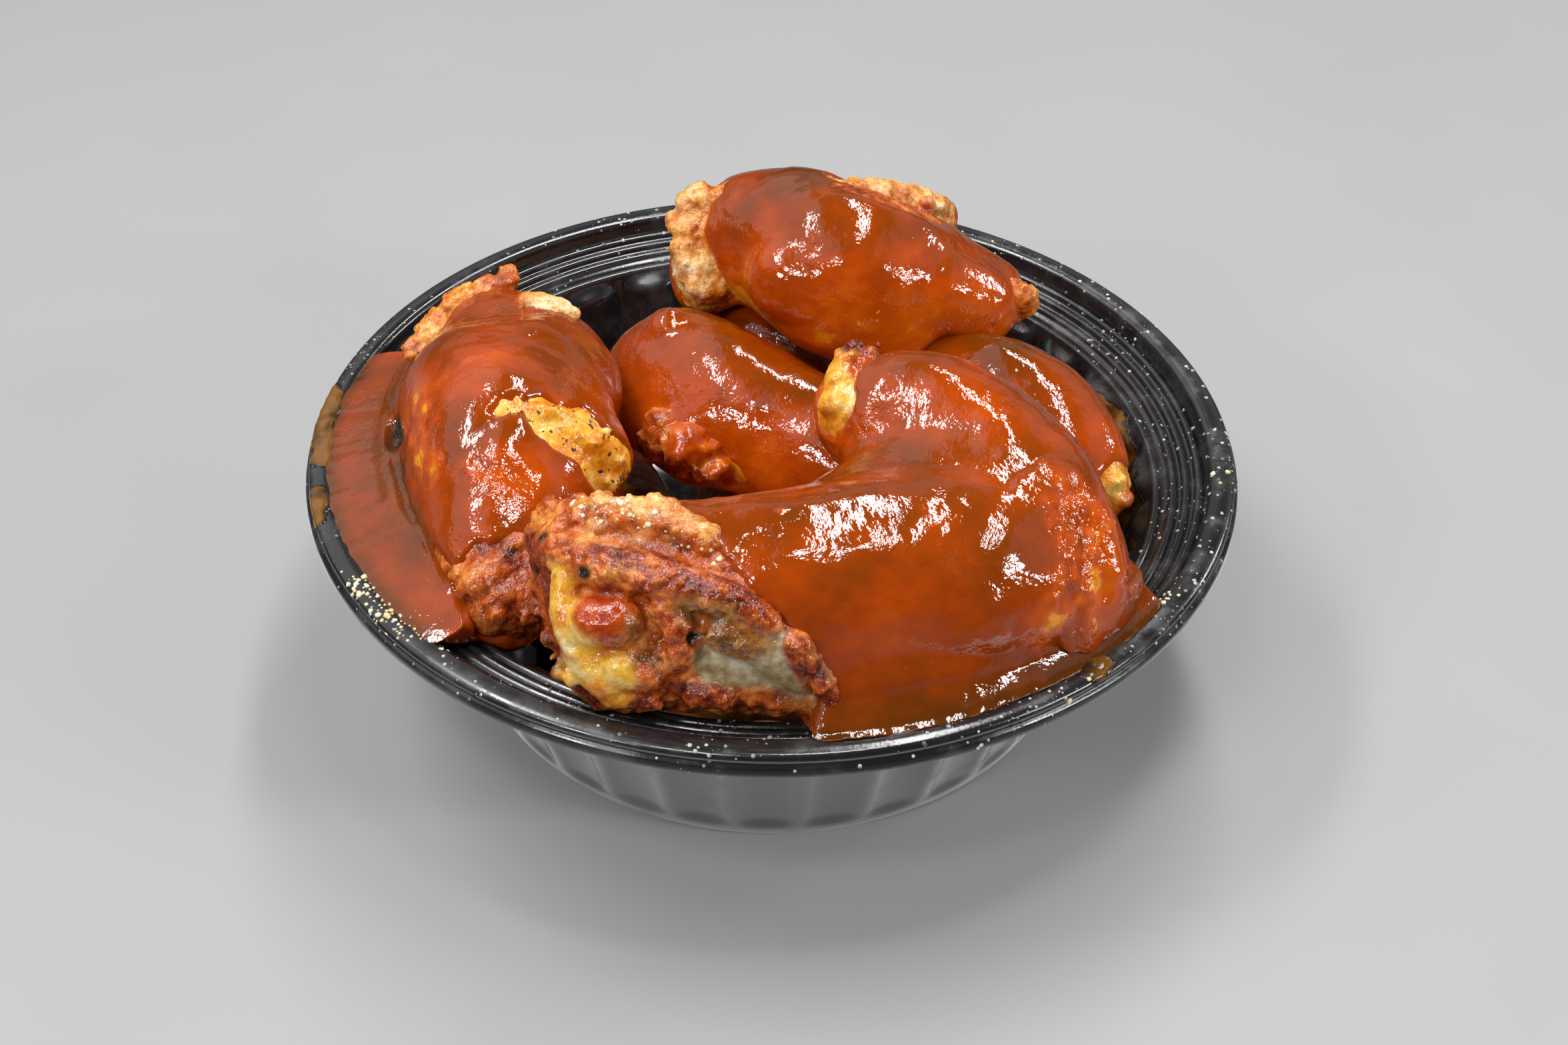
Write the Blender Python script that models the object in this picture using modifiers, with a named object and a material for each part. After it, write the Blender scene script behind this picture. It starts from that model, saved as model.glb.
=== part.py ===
"""Saucy chicken wings heaped in a round fluted takeaway bowl, as closed solids.

The origin is on the table under the middle of the bowl, +Z is up and -Y is the front
of the serving. Sizes below are in millimetres and become metres through MM.
"""
import math

import bmesh
import bpy
from mathutils import Matrix, Vector

MM = 0.001

# ---- the bowl: thin moulded plastic with a wide stepped rim and a fluted wall ----
WALL = 1.0                # thickness of the plastic
STEPS = 64                # facets round the bowl, two for each flute
FLUTES = 32
FLUTE_DEPTH = 1.8         # how far each flute stands into the bowl
FLUTE_TOP_Z = 38.5        # flutes run between these two heights
FLUTE_FOOT_Z = 6.0
RIM_R = 92.0              # widest point, the skirt under the rim
SKIRT_Z = 46.8
LIP_Z = 50.7              # flat top of the rim
LIP_INNER_R = 86.9
LEDGE_OUTER = (85.6, 47.3)    # radius and height where the steps begin
LEDGE_INNER = (75.5, 43.2)    # and where they end
RIDGES = 4
RIDGE_TREAD = 0.7         # share of a step that is nearly flat
RIDGE_SLOPE = 0.1         # share of a step's drop that this flat part takes
WALL_TOP = (74.4, 41.6)
WALL_FOOT = (61.2, 2.4)
FOOT_RING = (60.4, 51.0)  # outer and inner radius of the ring that stands on the table
RING_TOP_Z = WALL
FLOOR_Z = 1.9             # top of the floor, which rises a little towards its middle

# ---- the contents ----
GAP = 0.4                 # air left between pieces that touch
MERGE = 0.02              # points closer than this are one
HEADROOM = (100.0, 120.0)     # radius and height of the room above the rim
VOXEL = 2.2               # grain at which balls melt into one limb
LUMP_SIZE = 12.0          # size and height of the lumps in the skin
LUMP_HEIGHT = 2.0
BALL_SPACING = 4.0        # distance between balls along a limb

# Every wing is a few limbs and folds, each a chain of joints (x, y, z, radius). A limb runs
# through its joints on a smooth curve, and its thickness changes smoothly with it. The
# number is the wing's triangles. The wings are in the order in which they lie, lowest first.
WINGS = {
    "wing_low_front": (240, {
        "upper arm": [(-33, -41, 16, 12), (-8, -47, 17, 15), (22, -43, 16, 14)],
        "forearm": [(22, -43, 18, 14), (16, -27, 24, 14), (-3, -24, 25, 12)],
    }),
    "wing_low_left": (240, {
        "upper arm": [(-40, 30, 16, 13), (-34, 11, 17, 15), (-26, -4, 17, 14),
                      (-22, -18, 15, 10)],
        "forearm": [(-40, 8, 16, 14), (-45, -12, 15, 11)],
    }),
    "wing_low_middle": (240, {
        "upper arm": [(-5, 2, 18.5, 13), (-4, 22, 15, 14), (0, 40, 15, 13)],
        "forearm": [(0, 40, 15, 13), (18, 36, 14, 12), (26, 22, 14, 10)],
    }),
    "wing_rear_low": (240, {
        "arm": [(-12, 47, 41, 8), (-2, 44, 41, 13), (10, 41, 40, 13), (22, 37, 38, 12)],
    }),
    "wing_right": (380, {
        "upper arm": [(38, 20, 48, 12), (45, 14, 50, 13), (53, 4.5, 49, 14), (59, -7, 48, 12),
                      (66, -14, 47, 5)],
        "forearm": [(42, 16, 42, 15), (39, 2, 26, 15), (38, -13, 26, 14)],
    }),
    "wing_middle": (380, {
        "arm": [(-30, 25, 43, 8), (-20, 25, 48, 13), (-9, 14, 46, 16), (3, 7, 45, 15),
                (15, -1, 44, 14), (24, -9, 42, 12)],
        "crisp knob": [(-24, 16, 44, 10), (-17, 7, 44, 9.5), (-17, 3, 43, 7)],
    }),
    "wing_left": (560, {
        "forearm": [(-67, 31, 52, 7), (-58, 21, 54, 14), (-49, 13, 55, 15), (-42, 8, 54, 12)],
        "upper arm": [(-56, 1, 54, 18.5), (-51, -15, 56, 19.5), (-49, -30, 53, 16.5),
                      (-50, -42, 50, 13), (-49, -49, 47, 9.5)],
        "skin fold": [(-47, 4, 64, 9), (-39, -6, 58, 8.5), (-33, -17, 55, 7)],
        "belly": [(-46, 8, 42, 16), (-44, -12, 42, 15)],
    }),
    "wing_back": (500, {
        "arm": [(-15, 46, 62, 8.5), (-6, 48, 67, 13), (5, 42, 68, 16.5), (14.6, 33, 67, 18.5),
                (25, 35, 65, 15.5), (34, 38, 63, 11), (43, 37, 61, 8), (49, 35, 59, 5.5)],
        "cut end": [(-15, 54, 62, 7), (-15, 44, 58, 8)],
        "belly": [(12, 34, 62, 14), (18, 27, 60, 10), (26, 26, 59, 9)],
        "crisp edge": [(20, 50, 66, 7), (33, 56, 67, 6.5)],
    }),
    "wing_front": (780, {
        "upper arm": [(-27, -62, 60, 14), (-17, -62, 60, 17), (-5, -62, 61, 18),
                      (9, -60, 61, 19), (23, -56, 60, 19.5), (38, -53, 59, 19),
                      (50, -48, 57, 15)],
        "skin ridge": [(-35, -57, 67, 7.5), (-25, -60, 70, 9), (-10, -63, 71, 9)],
        "cut end": [(-27, -70, 62, 9), (-27, -70, 52, 9.5)],
        "belly": [(-20, -68, 56, 13), (-4, -69, 55, 12.5), (12, -68, 55, 12)],
        "forearm": [(49, -44, 63, 14), (45, -38, 66, 14), (38, -29, 68, 14), (30, -22, 69, 14),
                    (23, -20, 69, 13), (16.4, -19, 69, 9.5), (15.3, -9, 70, 5)],
        "skin web": [(16, -45, 61, 13), (30, -38, 63, 14), (41, -43, 62, 16)],
    }),
}

# A sauce apron is the thick sauce that runs from a wing down over the stepped ledge.
# Its section (radius, height) is turned between two bearings in degrees from +X.
APRONS = {
    "sauce_right": (-86.0, -35.0, [
        (66, 57), (75, 56), (80, 54.2), (85, 52.6), (87.6, 51.8), (88.4, 51.2), (86.2, 51.1),
        (84.8, 48.6), (75.6, 44.4), (66, 47),
    ]),
    "sauce_left": (163.0, 228.0, [
        (66, 52), (70, 51.5), (73.5, 51.6), (78, 54.2), (83, 54.0), (87.4, 52.4),
        (88.6, 51.2), (86.2, 51.1), (84.8, 48.6), (75.6, 44.4), (66, 47),
    ]),
}
APRON_FACET = 5.0         # degrees between sections of an apron

# ---- colours: (red, green, blue), roughness, metallic ----
BLACK_PLASTIC = ((0.012, 0.012, 0.013), 0.25, 0.0)
SAUCED_SKIN = ((0.33, 0.055, 0.012), 0.2, 0.0)
SAUCE = ((0.26, 0.045, 0.010), 0.15, 0.0)


def clear_scene():
    for thing in list(bpy.data.objects):
        bpy.data.objects.remove(thing, do_unlink=True)


def make_collection(name):
    collection = bpy.data.collections.new(name)
    bpy.context.scene.collection.children.link(collection)
    return collection


def make_material(name, finish):
    colour, roughness, metallic = finish
    material = bpy.data.materials.new(name)
    material.use_nodes = True
    shader = material.node_tree.nodes["Principled BSDF"]
    shader.inputs["Base Color"].default_value = (*colour, 1.0)
    shader.inputs["Roughness"].default_value = roughness
    shader.inputs["Metallic"].default_value = metallic
    return material


def add_object(name, mesh, collection):
    thing = bpy.data.objects.new(name, mesh)
    collection.objects.link(thing)
    return thing


def make_real(thing):
    """Turn an object's modifiers into its own mesh."""
    bpy.context.view_layer.update()
    graph = bpy.context.evaluated_depsgraph_get()
    mesh = bpy.data.meshes.new_from_object(thing.evaluated_get(graph))
    thing.modifiers.clear()
    old = thing.data
    thing.data = mesh
    bpy.data.meshes.remove(old)
    mesh.name = thing.name
    return thing


def turned(name, profile, collection, sweep=360.0, steps=STEPS, closed=False):
    """Turn a profile of (radius, height) round +Z, starting at +X."""
    shape = bmesh.new()
    points = [shape.verts.new((r * MM, 0.0, z * MM)) for r, z in profile]
    for a, b in zip(points, points[1:]):
        shape.edges.new((a, b))
    if closed:
        shape.edges.new((points[-1], points[0]))
    mesh = bpy.data.meshes.new(name)
    shape.to_mesh(mesh)
    shape.free()
    thing = add_object(name, mesh, collection)
    screw = thing.modifiers.new("Turn", "SCREW")
    screw.angle = math.radians(sweep)
    screw.steps = steps
    screw.render_steps = steps
    screw.use_merge_vertices = sweep == 360.0
    screw.merge_threshold = 0.00001
    return make_real(thing)


# ---------------------------------------------------------------- the bowl
def bowl_profile():
    """The top face of the bowl, from the middle of its floor over the rim to the skirt."""
    lip = [(RIM_R, SKIRT_Z), (RIM_R - 0.3, LIP_Z - 0.9), (RIM_R - 1.3, LIP_Z),
           (LIP_INNER_R, LIP_Z), LEDGE_OUTER]
    steps = []
    tread = (LEDGE_OUTER[0] - LEDGE_INNER[0]) / RIDGES
    drop = (LEDGE_OUTER[1] - LEDGE_INNER[1]) / RIDGES
    for i in range(RIDGES):
        r = LEDGE_OUTER[0] - i * tread
        z = LEDGE_OUTER[1] - i * drop
        steps += [(r - RIDGE_TREAD * tread, z - RIDGE_SLOPE * drop), (r - tread, z - drop)]
    wall = [WALL_TOP]
    for z in (FLUTE_TOP_Z, FLUTE_FOOT_Z):
        wall.append((wall_radius(z), z))
    foot = [WALL_FOOT, (FOOT_RING[0], RING_TOP_Z), (FOOT_RING[1], RING_TOP_Z), (0.0, FLOOR_Z)]
    return (lip + steps + wall + foot)[::-1]


def wall_radius(z):
    """Radius of the plain wall at height z, before the flutes stand into it."""
    share = (z - WALL_FOOT[1]) / (WALL_TOP[1] - WALL_FOOT[1])
    return WALL_FOOT[0] + share * (WALL_TOP[0] - WALL_FOOT[0])


def flute_wall(mesh):
    """Push the wall inwards along the flutes, between their top and their foot."""
    for vertex in mesh.vertices:
        x, y, z = vertex.co
        radius = math.hypot(x, y)
        height = z / MM
        if FLUTE_FOOT_Z - 0.1 < height < FLUTE_TOP_Z + 0.1:
            wave = 0.5 + 0.5 * math.cos(FLUTES * math.atan2(y, x))
            factor = 1.0 - FLUTE_DEPTH * MM * wave / radius
            vertex.co.x = x * factor
            vertex.co.y = y * factor


def make_bowl(collection):
    bowl = turned("bowl", bowl_profile(), collection)
    flute_wall(bowl.data)
    solid = bowl.modifiers.new("Wall", "SOLIDIFY")
    solid.thickness = WALL * MM
    solid.offset = -1.0
    solid.use_even_offset = True
    make_real(bowl)
    stand_flat(bowl.data)
    return bowl


def stand_flat(mesh):
    """Put every point of the foot ring's underside exactly on the table."""
    for vertex in mesh.vertices:
        if vertex.co.z < 0.3 * WALL * MM:
            vertex.co.z = 0.0


def make_cavity(collection):
    """The room inside and above the bowl that the contents may fill."""
    over_ridges = (LEDGE_OUTER[1] - LEDGE_INNER[1]) / RIDGES
    over_lip = LIP_Z + GAP
    flute_gap = FLUTE_DEPTH + GAP
    room = [
        (0.0, HEADROOM[1]), HEADROOM, (HEADROOM[0], over_lip), (LIP_INNER_R - GAP, over_lip),
        (LEDGE_OUTER[0] - GAP, LEDGE_OUTER[1] + over_ridges),
        (LEDGE_INNER[0] - GAP, LEDGE_INNER[1] + over_ridges),
        (WALL_TOP[0] - GAP, WALL_TOP[1]),
        (wall_radius(FLUTE_TOP_Z) - flute_gap, FLUTE_TOP_Z),
        (wall_radius(FLUTE_FOOT_Z) - flute_gap, FLUTE_FOOT_Z),
        (FOOT_RING[0] - flute_gap, FLOOR_Z + GAP), (0.0, FLOOR_Z + GAP),
    ]
    cavity = turned("cavity", room, collection)
    cavity.hide_render = True
    cavity.display_type = "WIRE"
    return cavity


# ---------------------------------------------------------------- limbs of meat and skin
def between(a, b, c, d, t):
    """A point on the smooth curve from b to c, with neighbours a and d."""
    return 0.5 * (2 * b + (c - a) * t + (2 * a - 5 * b + 4 * c - d) * t * t
                  + (3 * b - a - 3 * c + d) * t ** 3)


def limb_balls(joints):
    """Centres and radii of the balls that fill a limb, spaced along its smooth curve."""
    joints = [Vector(j) for j in joints]
    path = [joints[0] * 2 - joints[1]] + joints + [joints[-1] * 2 - joints[-2]]
    balls = []
    for i in range(1, len(path) - 2):
        length = (path[i + 1].xyz - path[i].xyz).length
        count = max(1, round(length / BALL_SPACING))
        for k in range(count):
            balls.append(between(path[i - 1], path[i], path[i + 1], path[i + 2], k / count))
    balls.append(joints[-1])
    return balls


def make_wing(name, faces, limbs, collection):
    """Melt balls along each limb into one skin, give it lumps and thin it to its face count."""
    shape = bmesh.new()
    for joints in limbs.values():
        for ball in limb_balls(joints):
            place = Matrix.Translation(ball.xyz * MM)
            bmesh.ops.create_icosphere(shape, subdivisions=2, radius=ball.w * MM, matrix=place)
    mesh = bpy.data.meshes.new(name)
    shape.to_mesh(mesh)
    shape.free()
    wing = add_object(name, mesh, collection)
    melt = wing.modifiers.new("Melt", "REMESH")
    melt.mode = "VOXEL"
    melt.voxel_size = VOXEL * MM
    soften = wing.modifiers.new("Soften", "SMOOTH")
    soften.factor = 0.5
    soften.iterations = 6
    lumps = bpy.data.textures.new(name + "_lumps", "CLOUDS")
    lumps.noise_scale = LUMP_SIZE * MM
    uneven = wing.modifiers.new("Lumps", "DISPLACE")
    uneven.texture = lumps
    uneven.texture_coords = "LOCAL"
    uneven.strength = LUMP_HEIGHT * MM
    make_real(wing)
    return thin_out(wing, faces)


def thin_out(thing, faces):
    """Bring a mesh down to a number of triangles."""
    thing.data.calc_loop_triangles()
    thin = thing.modifiers.new("Thin", "DECIMATE")
    thin.ratio = min(1.0, faces / len(thing.data.loop_triangles))
    thin.use_collapse_triangulate = True
    return make_real(thing)


def combine(thing, other, operation):
    cut = thing.modifiers.new("Cut", "BOOLEAN")
    cut.operation = operation
    cut.solver = "EXACT"
    cut.object = other
    return make_real(thing)


def cut_clear_of(thing, neighbour, collection):
    """Take a neighbour and the air round it out of a piece."""
    cutter = add_object("cutter", neighbour.data.copy(), collection)
    swell = cutter.modifiers.new("Swell", "DISPLACE")
    swell.strength = GAP * MM
    swell.mid_level = 0.0
    make_real(cutter)
    combine(thing, cutter, "DIFFERENCE")
    bpy.data.objects.remove(cutter, do_unlink=True)


def boxes_meet(a, b):
    """Whether two objects' bounding boxes come within the gap of each other."""
    reach = 2 * GAP * MM
    for axis in range(3):
        spans = []
        for thing in (a, b):
            values = [v.co[axis] for v in thing.data.vertices]
            spans.append((min(values), max(values)))
        if spans[0][1] + reach < spans[1][0] or spans[1][1] + reach < spans[0][0]:
            return False
    return True


def grow_island(vertex, unseen):
    """All points joined to this one by edges, taken out of the unseen ones."""
    island = {vertex}
    front = [vertex]
    while front:
        point = front.pop()
        for edge in point.link_edges:
            other = edge.other_vert(point)
            if other in unseen:
                unseen.discard(other)
                island.add(other)
                front.append(other)
    return island


def tidy_cut(thing):
    """Merge slivers left by the cuts and keep the largest body."""
    shape = bmesh.new()
    shape.from_mesh(thing.data)
    bmesh.ops.remove_doubles(shape, verts=shape.verts, dist=MERGE * MM)
    bmesh.ops.dissolve_degenerate(shape, edges=shape.edges, dist=MERGE * MM)
    bmesh.ops.triangulate(shape, faces=shape.faces)
    unseen = set(shape.verts)
    islands = []
    while unseen:
        islands.append(grow_island(unseen.pop(), unseen))
    largest = max(islands, key=len)
    strays = [v for v in shape.verts if v not in largest]
    bmesh.ops.delete(shape, geom=strays, context="VERTS")
    shape.to_mesh(thing.data)
    shape.free()


def settle(piece, earlier, collection):
    """Fit a piece round the pieces that lie under it."""
    for neighbour in earlier:
        if boxes_meet(piece, neighbour):
            cut_clear_of(piece, neighbour, collection)
    tidy_cut(piece)


def make_apron(name, start, end, section, collection):
    """Sauce over the ledge: a closed section turned part of the way round, then capped."""
    steps = round((end - start) / APRON_FACET)
    apron = turned(name, section, collection, sweep=end - start, steps=steps, closed=True)
    shape = bmesh.new()
    shape.from_mesh(apron.data)
    bmesh.ops.rotate(shape, verts=shape.verts, cent=(0, 0, 0),
                     matrix=Matrix.Rotation(math.radians(start), 3, "Z"))
    bmesh.ops.holes_fill(shape, edges=shape.edges)
    bmesh.ops.recalc_face_normals(shape, faces=shape.faces)
    shape.to_mesh(apron.data)
    shape.free()
    return apron


def finish(thing, material):
    thing.data.materials.clear()
    thing.data.materials.append(material)
    thing.data.shade_smooth()
    thing.data.set_sharp_from_angle(angle=math.radians(50))


def main():
    clear_scene()
    parts = make_collection("chicken_wings_bowl")
    cutters = make_collection("cutters")
    bowl = make_bowl(parts)
    cavity = make_cavity(cutters)
    laid = []
    for name, (faces, limbs) in WINGS.items():
        wing = make_wing(name, faces, limbs, parts)
        combine(wing, cavity, "INTERSECT")
        settle(wing, laid, cutters)
        laid.append(wing)
    for name, (start, end, section) in APRONS.items():
        apron = make_apron(name, start, end, section, parts)
        settle(apron, laid, cutters)
        laid.append(apron)
    finish(bowl, make_material("black_plastic", BLACK_PLASTIC))
    for piece in laid:
        if piece.name in WINGS:
            finish(piece, make_material(piece.name + "_skin", SAUCED_SKIN))
        else:
            finish(piece, make_material(piece.name + "_sauce", SAUCE))


main()
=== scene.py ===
"""Looks for saucy chicken wings heaped in a round black takeaway bowl.

The solids of the serving give the shapes. Here the bowl is turned again with all its small
steps and flutes, every wing gets its own crust, gristle and meat, and the sauce is laid over
the wings as a coat that runs out over the ledge of the bowl at the left and at the right.
Sizes are in millimetres and become metres through MM. -Y is the front of the serving.
"""

import math

import bmesh
import bpy
import numpy as np
from mathutils import Matrix, Vector


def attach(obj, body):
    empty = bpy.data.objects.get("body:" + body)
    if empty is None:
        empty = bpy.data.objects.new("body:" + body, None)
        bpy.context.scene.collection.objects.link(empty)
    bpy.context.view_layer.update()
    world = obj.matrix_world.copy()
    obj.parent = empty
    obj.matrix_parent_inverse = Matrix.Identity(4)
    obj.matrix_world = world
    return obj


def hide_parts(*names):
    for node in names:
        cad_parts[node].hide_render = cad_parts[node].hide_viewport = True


MM = 0.001

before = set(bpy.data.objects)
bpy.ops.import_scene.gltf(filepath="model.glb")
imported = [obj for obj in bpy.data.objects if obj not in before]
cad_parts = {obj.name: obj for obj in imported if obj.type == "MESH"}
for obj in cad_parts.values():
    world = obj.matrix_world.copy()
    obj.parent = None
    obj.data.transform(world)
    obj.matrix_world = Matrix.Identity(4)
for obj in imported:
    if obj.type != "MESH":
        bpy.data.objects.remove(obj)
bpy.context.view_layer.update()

# ---- the bowl ----
WALL = 0.85               # thickness of the plastic
FLUTES = 32
FLUTE_TOP_Z = 41.2
FLUTE_FOOT_Z = 4.5
FLUTE_TOP_DEPTH = 2.3     # how far a flute stands into the bowl at its top
FLUTE_FOOT_DEPTH = 0.9
FLUTE_SHARE = 0.41        # half a flute's width, as a share of their spacing
BOWL_STEPS = 512          # points round the bowl
SHARPEST_BEND = 55        # degrees; the plastic is shaded round up to this

# The section of the bowl as (radius, height). Its upper face starts at the outer edge of the
# skirt and goes over the rim, down the steps and the wall, and in to the middle of the floor.
RIM_FACE = [
    (92.0, 46.6), (92.0, 47.9), (91.75, 48.4), (91.3, 48.65), (91.1, 48.95), (91.25, 49.35),
    (91.15, 49.9), (90.75, 50.35), (90.1, 50.62), (89.0, 50.7), (87.4, 50.7), (86.7, 50.45),
    (86.25, 49.9), (86.0, 49.0), (85.75, 47.9), (85.5, 47.2),
]
STEP_CRESTS = [(84.6, 47.5), (82.2, 46.6), (79.8, 45.7), (76.6, 44.3)]
STEP_WIDTH = 1.9
STEP_FALL = 1.15          # depth of the valley behind each crest
WALL_TOP = (75.5, 43.3)
WALL_FOOT = (61.6, 2.6)
WALL_RINGS = [WALL_TOP[1], 42.9, 42.4, 41.9, 41.4, 40.8, 40.0, 39.0, 37.5]
WALL_RINGS += [37.5 - 2.2 * k for k in range(1, 14)] + [7.0, 6.0, 5.2, 4.5, 3.8, 3.2]
FLOOR_FACE = [(61.0, 1.5), (60.4, 1.0), (54.0, 1.0), (52.0, 1.2), (50.0, 1.9), (30.0, 2.2),
              (0.0, 2.4)]
# The underside, from the skirt in to the wall, and from the wall in to the middle.
RIM_BACK = [(91.2, 46.6), (91.2, 47.9), (90.5, 48.6), (90.2, 49.4), (89.6, 49.85), (87.6, 49.85),
            (87.1, 49.5), (86.8, 48.4), (86.5, 46.6), (85.0, 45.9), (77.2, 43.1), (76.4, 42.4)]
FLOOR_BACK = [(62.3, 2.3), (61.9, 1.0), (61.2, 0.2), (60.4, 0.0), (52.0, 0.0), (50.6, 0.3),
              (49.6, 1.05), (30.0, 1.35), (0.0, 1.5)]

# ---- the camera and the light ----
VIEW_HEIGHT = 38.9        # degrees above the table
VIEW_ROLL = 0.9
VIEW_DISTANCE = 0.453
VIEW_TARGET = (0.0025, 0.0, 0.0275)
LENS = 50.51
LAMP_TARGET = (0, 0, 0.05)
# Flat lamps: place, direction of the long side, (length, width) and power.
LAMPS = {
    "lamp_left": ((-0.47, 0.06, 0.88), (0.35, 0.94, 0), (0.52, 0.13), 3.9),
    "lamp_overhead": ((0.10, -0.11, 0.95), (1, 0, 0), (0.18, 0.08), 1.1),
    "lamp_right": ((0.17, 0.33, 0.90), (-0.14, 0.98, 0), (0.82, 0.10), 4.8),
    "lamp_low": ((0.83, -0.34, 0.41), (0.26, 0.25, -0.27), (0.48, 0.09), 3.2),
    "lamp_side": ((0.80, 0.36, 0.40), (-0.40, 0.90, 0), (0.20, 0.08), 1.2),
    "lamp_front": ((-0.22, -0.52, 0.88), (1, 0, 0), (0.18, 0.11), 1.4),
    "lamp_fill": ((-0.62, -0.72, 0.62), (0.7, -0.7, 0), (0.26, 0.16), 3.0),
}
# The sky glows faintly everywhere and more in three panels: where x / z and y / z each lie
# between two values, and how bright.
SKY_GLOW = 0.05
SKY_PANELS = [((-3.0, -0.22), (-0.6, 1.7), 0.75), ((0.80, 2.6), (-0.6, 1.7), 0.30),
              ((-4.0, 4.0), (1.45, 5.0), 0.24)]
SKY_EDGE = 0.06           # half the width of a panel's soft edge
FLOOR_Z = -0.0002
# What mirror rays see of the floor: bright close to the bowl, dark further away.
FLOOR_BRIGHT_REACH = 0.12
FLOOR_DARK_REACH = 0.17


# ---------------------------------------------------------------- numbers over points
def corner_slopes(corner, seed):
    """A repeatable random direction for every whole-number corner of space."""
    mixed = corner[:, 0] * 73856093 ^ corner[:, 1] * 19349663 ^ corner[:, 2] * 83492791
    mixed = (mixed ^ (seed * 2654435761)) & 0xFFFFFFFF
    mixed = ((mixed ^ (mixed >> 15)) * 2246822519) & 0xFFFFFFFF
    mixed = ((mixed ^ (mixed >> 13)) * 3266489917) & 0xFFFFFFFF
    mixed = mixed ^ (mixed >> 16)
    turn = (mixed & 0xFFFF) / 65536.0 * 2 * math.pi
    height = ((mixed >> 16) & 0xFFFF) / 32768.0 - 1.0
    flat = np.sqrt(np.maximum(0.0, 1.0 - height * height))
    return np.stack([flat * np.cos(turn), flat * np.sin(turn), height], 1)


def swell(points, size, seed=0):
    """Smooth noise from about -1 to 1 whose humps are about `size` across."""
    place = points / size
    base = np.floor(place).astype(np.int64)
    part = place - base
    fade = part ** 3 * (part * (part * 6 - 15) + 10)
    total = np.zeros(len(points))
    for dx in (0, 1):
        for dy in (0, 1):
            for dz in (0, 1):
                step = np.array([dx, dy, dz])
                slope = corner_slopes(base + step, seed)
                share = np.prod(np.where(step == 1, fade, 1.0 - fade), axis=1)
                total += share * ((part - step) * slope).sum(1)
    return total * 1.7


def rough(points, size, layers, seed=0):
    """Several layers of noise, each half the size and strength of the one before."""
    total = np.zeros(len(points))
    share = 1.0
    for layer in range(layers):
        total += share * swell(points, size / 2 ** layer, seed + layer * 7)
        share *= 0.5
    return total


def ease(value, low, high):
    """0 at low, 1 at high, smooth between them."""
    part = np.clip((value - low) / (high - low), 0.0, 1.0)
    return part * part * (3 - 2 * part)


def beyond(points, chain):
    """How far each point lies outside a chain of balls (x, y, z, radius), in millimetres."""
    chain = np.array(chain, float)
    if len(chain) == 1:
        return np.linalg.norm(points - chain[0, :3], axis=1) - chain[0, 3]
    nearest = np.full(len(points), 1e9)
    for a, b in zip(chain, chain[1:]):
        along = b[:3] - a[:3]
        share = np.clip(((points - a[:3]) @ along) / (along @ along), 0.0, 1.0)
        middle = a[:3] + share[:, None] * along
        radius = a[3] + share * (b[3] - a[3])
        nearest = np.minimum(nearest, np.linalg.norm(points - middle, axis=1) - radius)
    return nearest


def within(points, chains, soft, ragged=0.0, grain=4.0, seed=3):
    """1 inside any of the chains, 0 outside, over a soft edge that may be ragged."""
    if not chains:
        return np.zeros(len(points))
    nearest = np.min([beyond(points, chain) for chain in chains], axis=0)
    if ragged:
        nearest = nearest + ragged * rough(points, grain, 3, seed)
    return 1.0 - ease(nearest, -soft, soft)


# ---------------------------------------------------------------- meshes
def points_of(mesh):
    flat = np.empty(len(mesh.vertices) * 3)
    mesh.vertices.foreach_get("co", flat)
    return flat.reshape(-1, 3) / MM


def set_points(mesh, points):
    mesh.vertices.foreach_set("co", (points * MM).ravel())
    mesh.update()


def normals_of(mesh):
    flat = np.empty(len(mesh.vertices) * 3)
    mesh.vertex_normals.foreach_get("vector", flat)
    return flat.reshape(-1, 3)


def put_values(mesh, name, values):
    """Keep a number per point on the mesh for its material to read."""
    layer = mesh.attributes.new(name, "FLOAT", "POINT")
    layer.data.foreach_set("value", values.astype(np.float32))


def put_colours(mesh, name, colours):
    layer = mesh.attributes.new(name, "FLOAT_COLOR", "POINT")
    rgba = np.ones((len(colours), 4), np.float32)
    rgba[:, :3] = colours
    layer.data.foreach_set("color", rgba.ravel())


def add_piece(name, mesh):
    piece = bpy.data.objects.new(name, mesh)
    bpy.context.scene.collection.objects.link(piece)
    return piece


def make_real(piece):
    """Turn a piece's modifiers into its own mesh."""
    bpy.context.view_layer.update()
    graph = bpy.context.evaluated_depsgraph_get()
    mesh = bpy.data.meshes.new_from_object(piece.evaluated_get(graph))
    piece.modifiers.clear()
    old = piece.data
    piece.data = mesh
    bpy.data.meshes.remove(old)
    mesh.name = piece.name
    return piece


def soften(piece, times):
    smooth = piece.modifiers.new("Soften", "SMOOTH")
    smooth.factor = 0.5
    smooth.iterations = times
    return make_real(piece)


def remesh(piece, grain):
    """Rebuild a piece as one closed skin of even cells."""
    melt = piece.modifiers.new("Melt", "REMESH")
    melt.mode = "VOXEL"
    melt.voxel_size = grain * MM
    return make_real(piece)


def mesh_from(shape, name):
    """A new mesh with what a bmesh holds."""
    mesh = bpy.data.meshes.new(name)
    shape.to_mesh(mesh)
    shape.free()
    return mesh


def drop_layers(mesh, names):
    for name in names:
        if name in mesh.attributes:
            mesh.attributes.remove(mesh.attributes[name])


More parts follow.
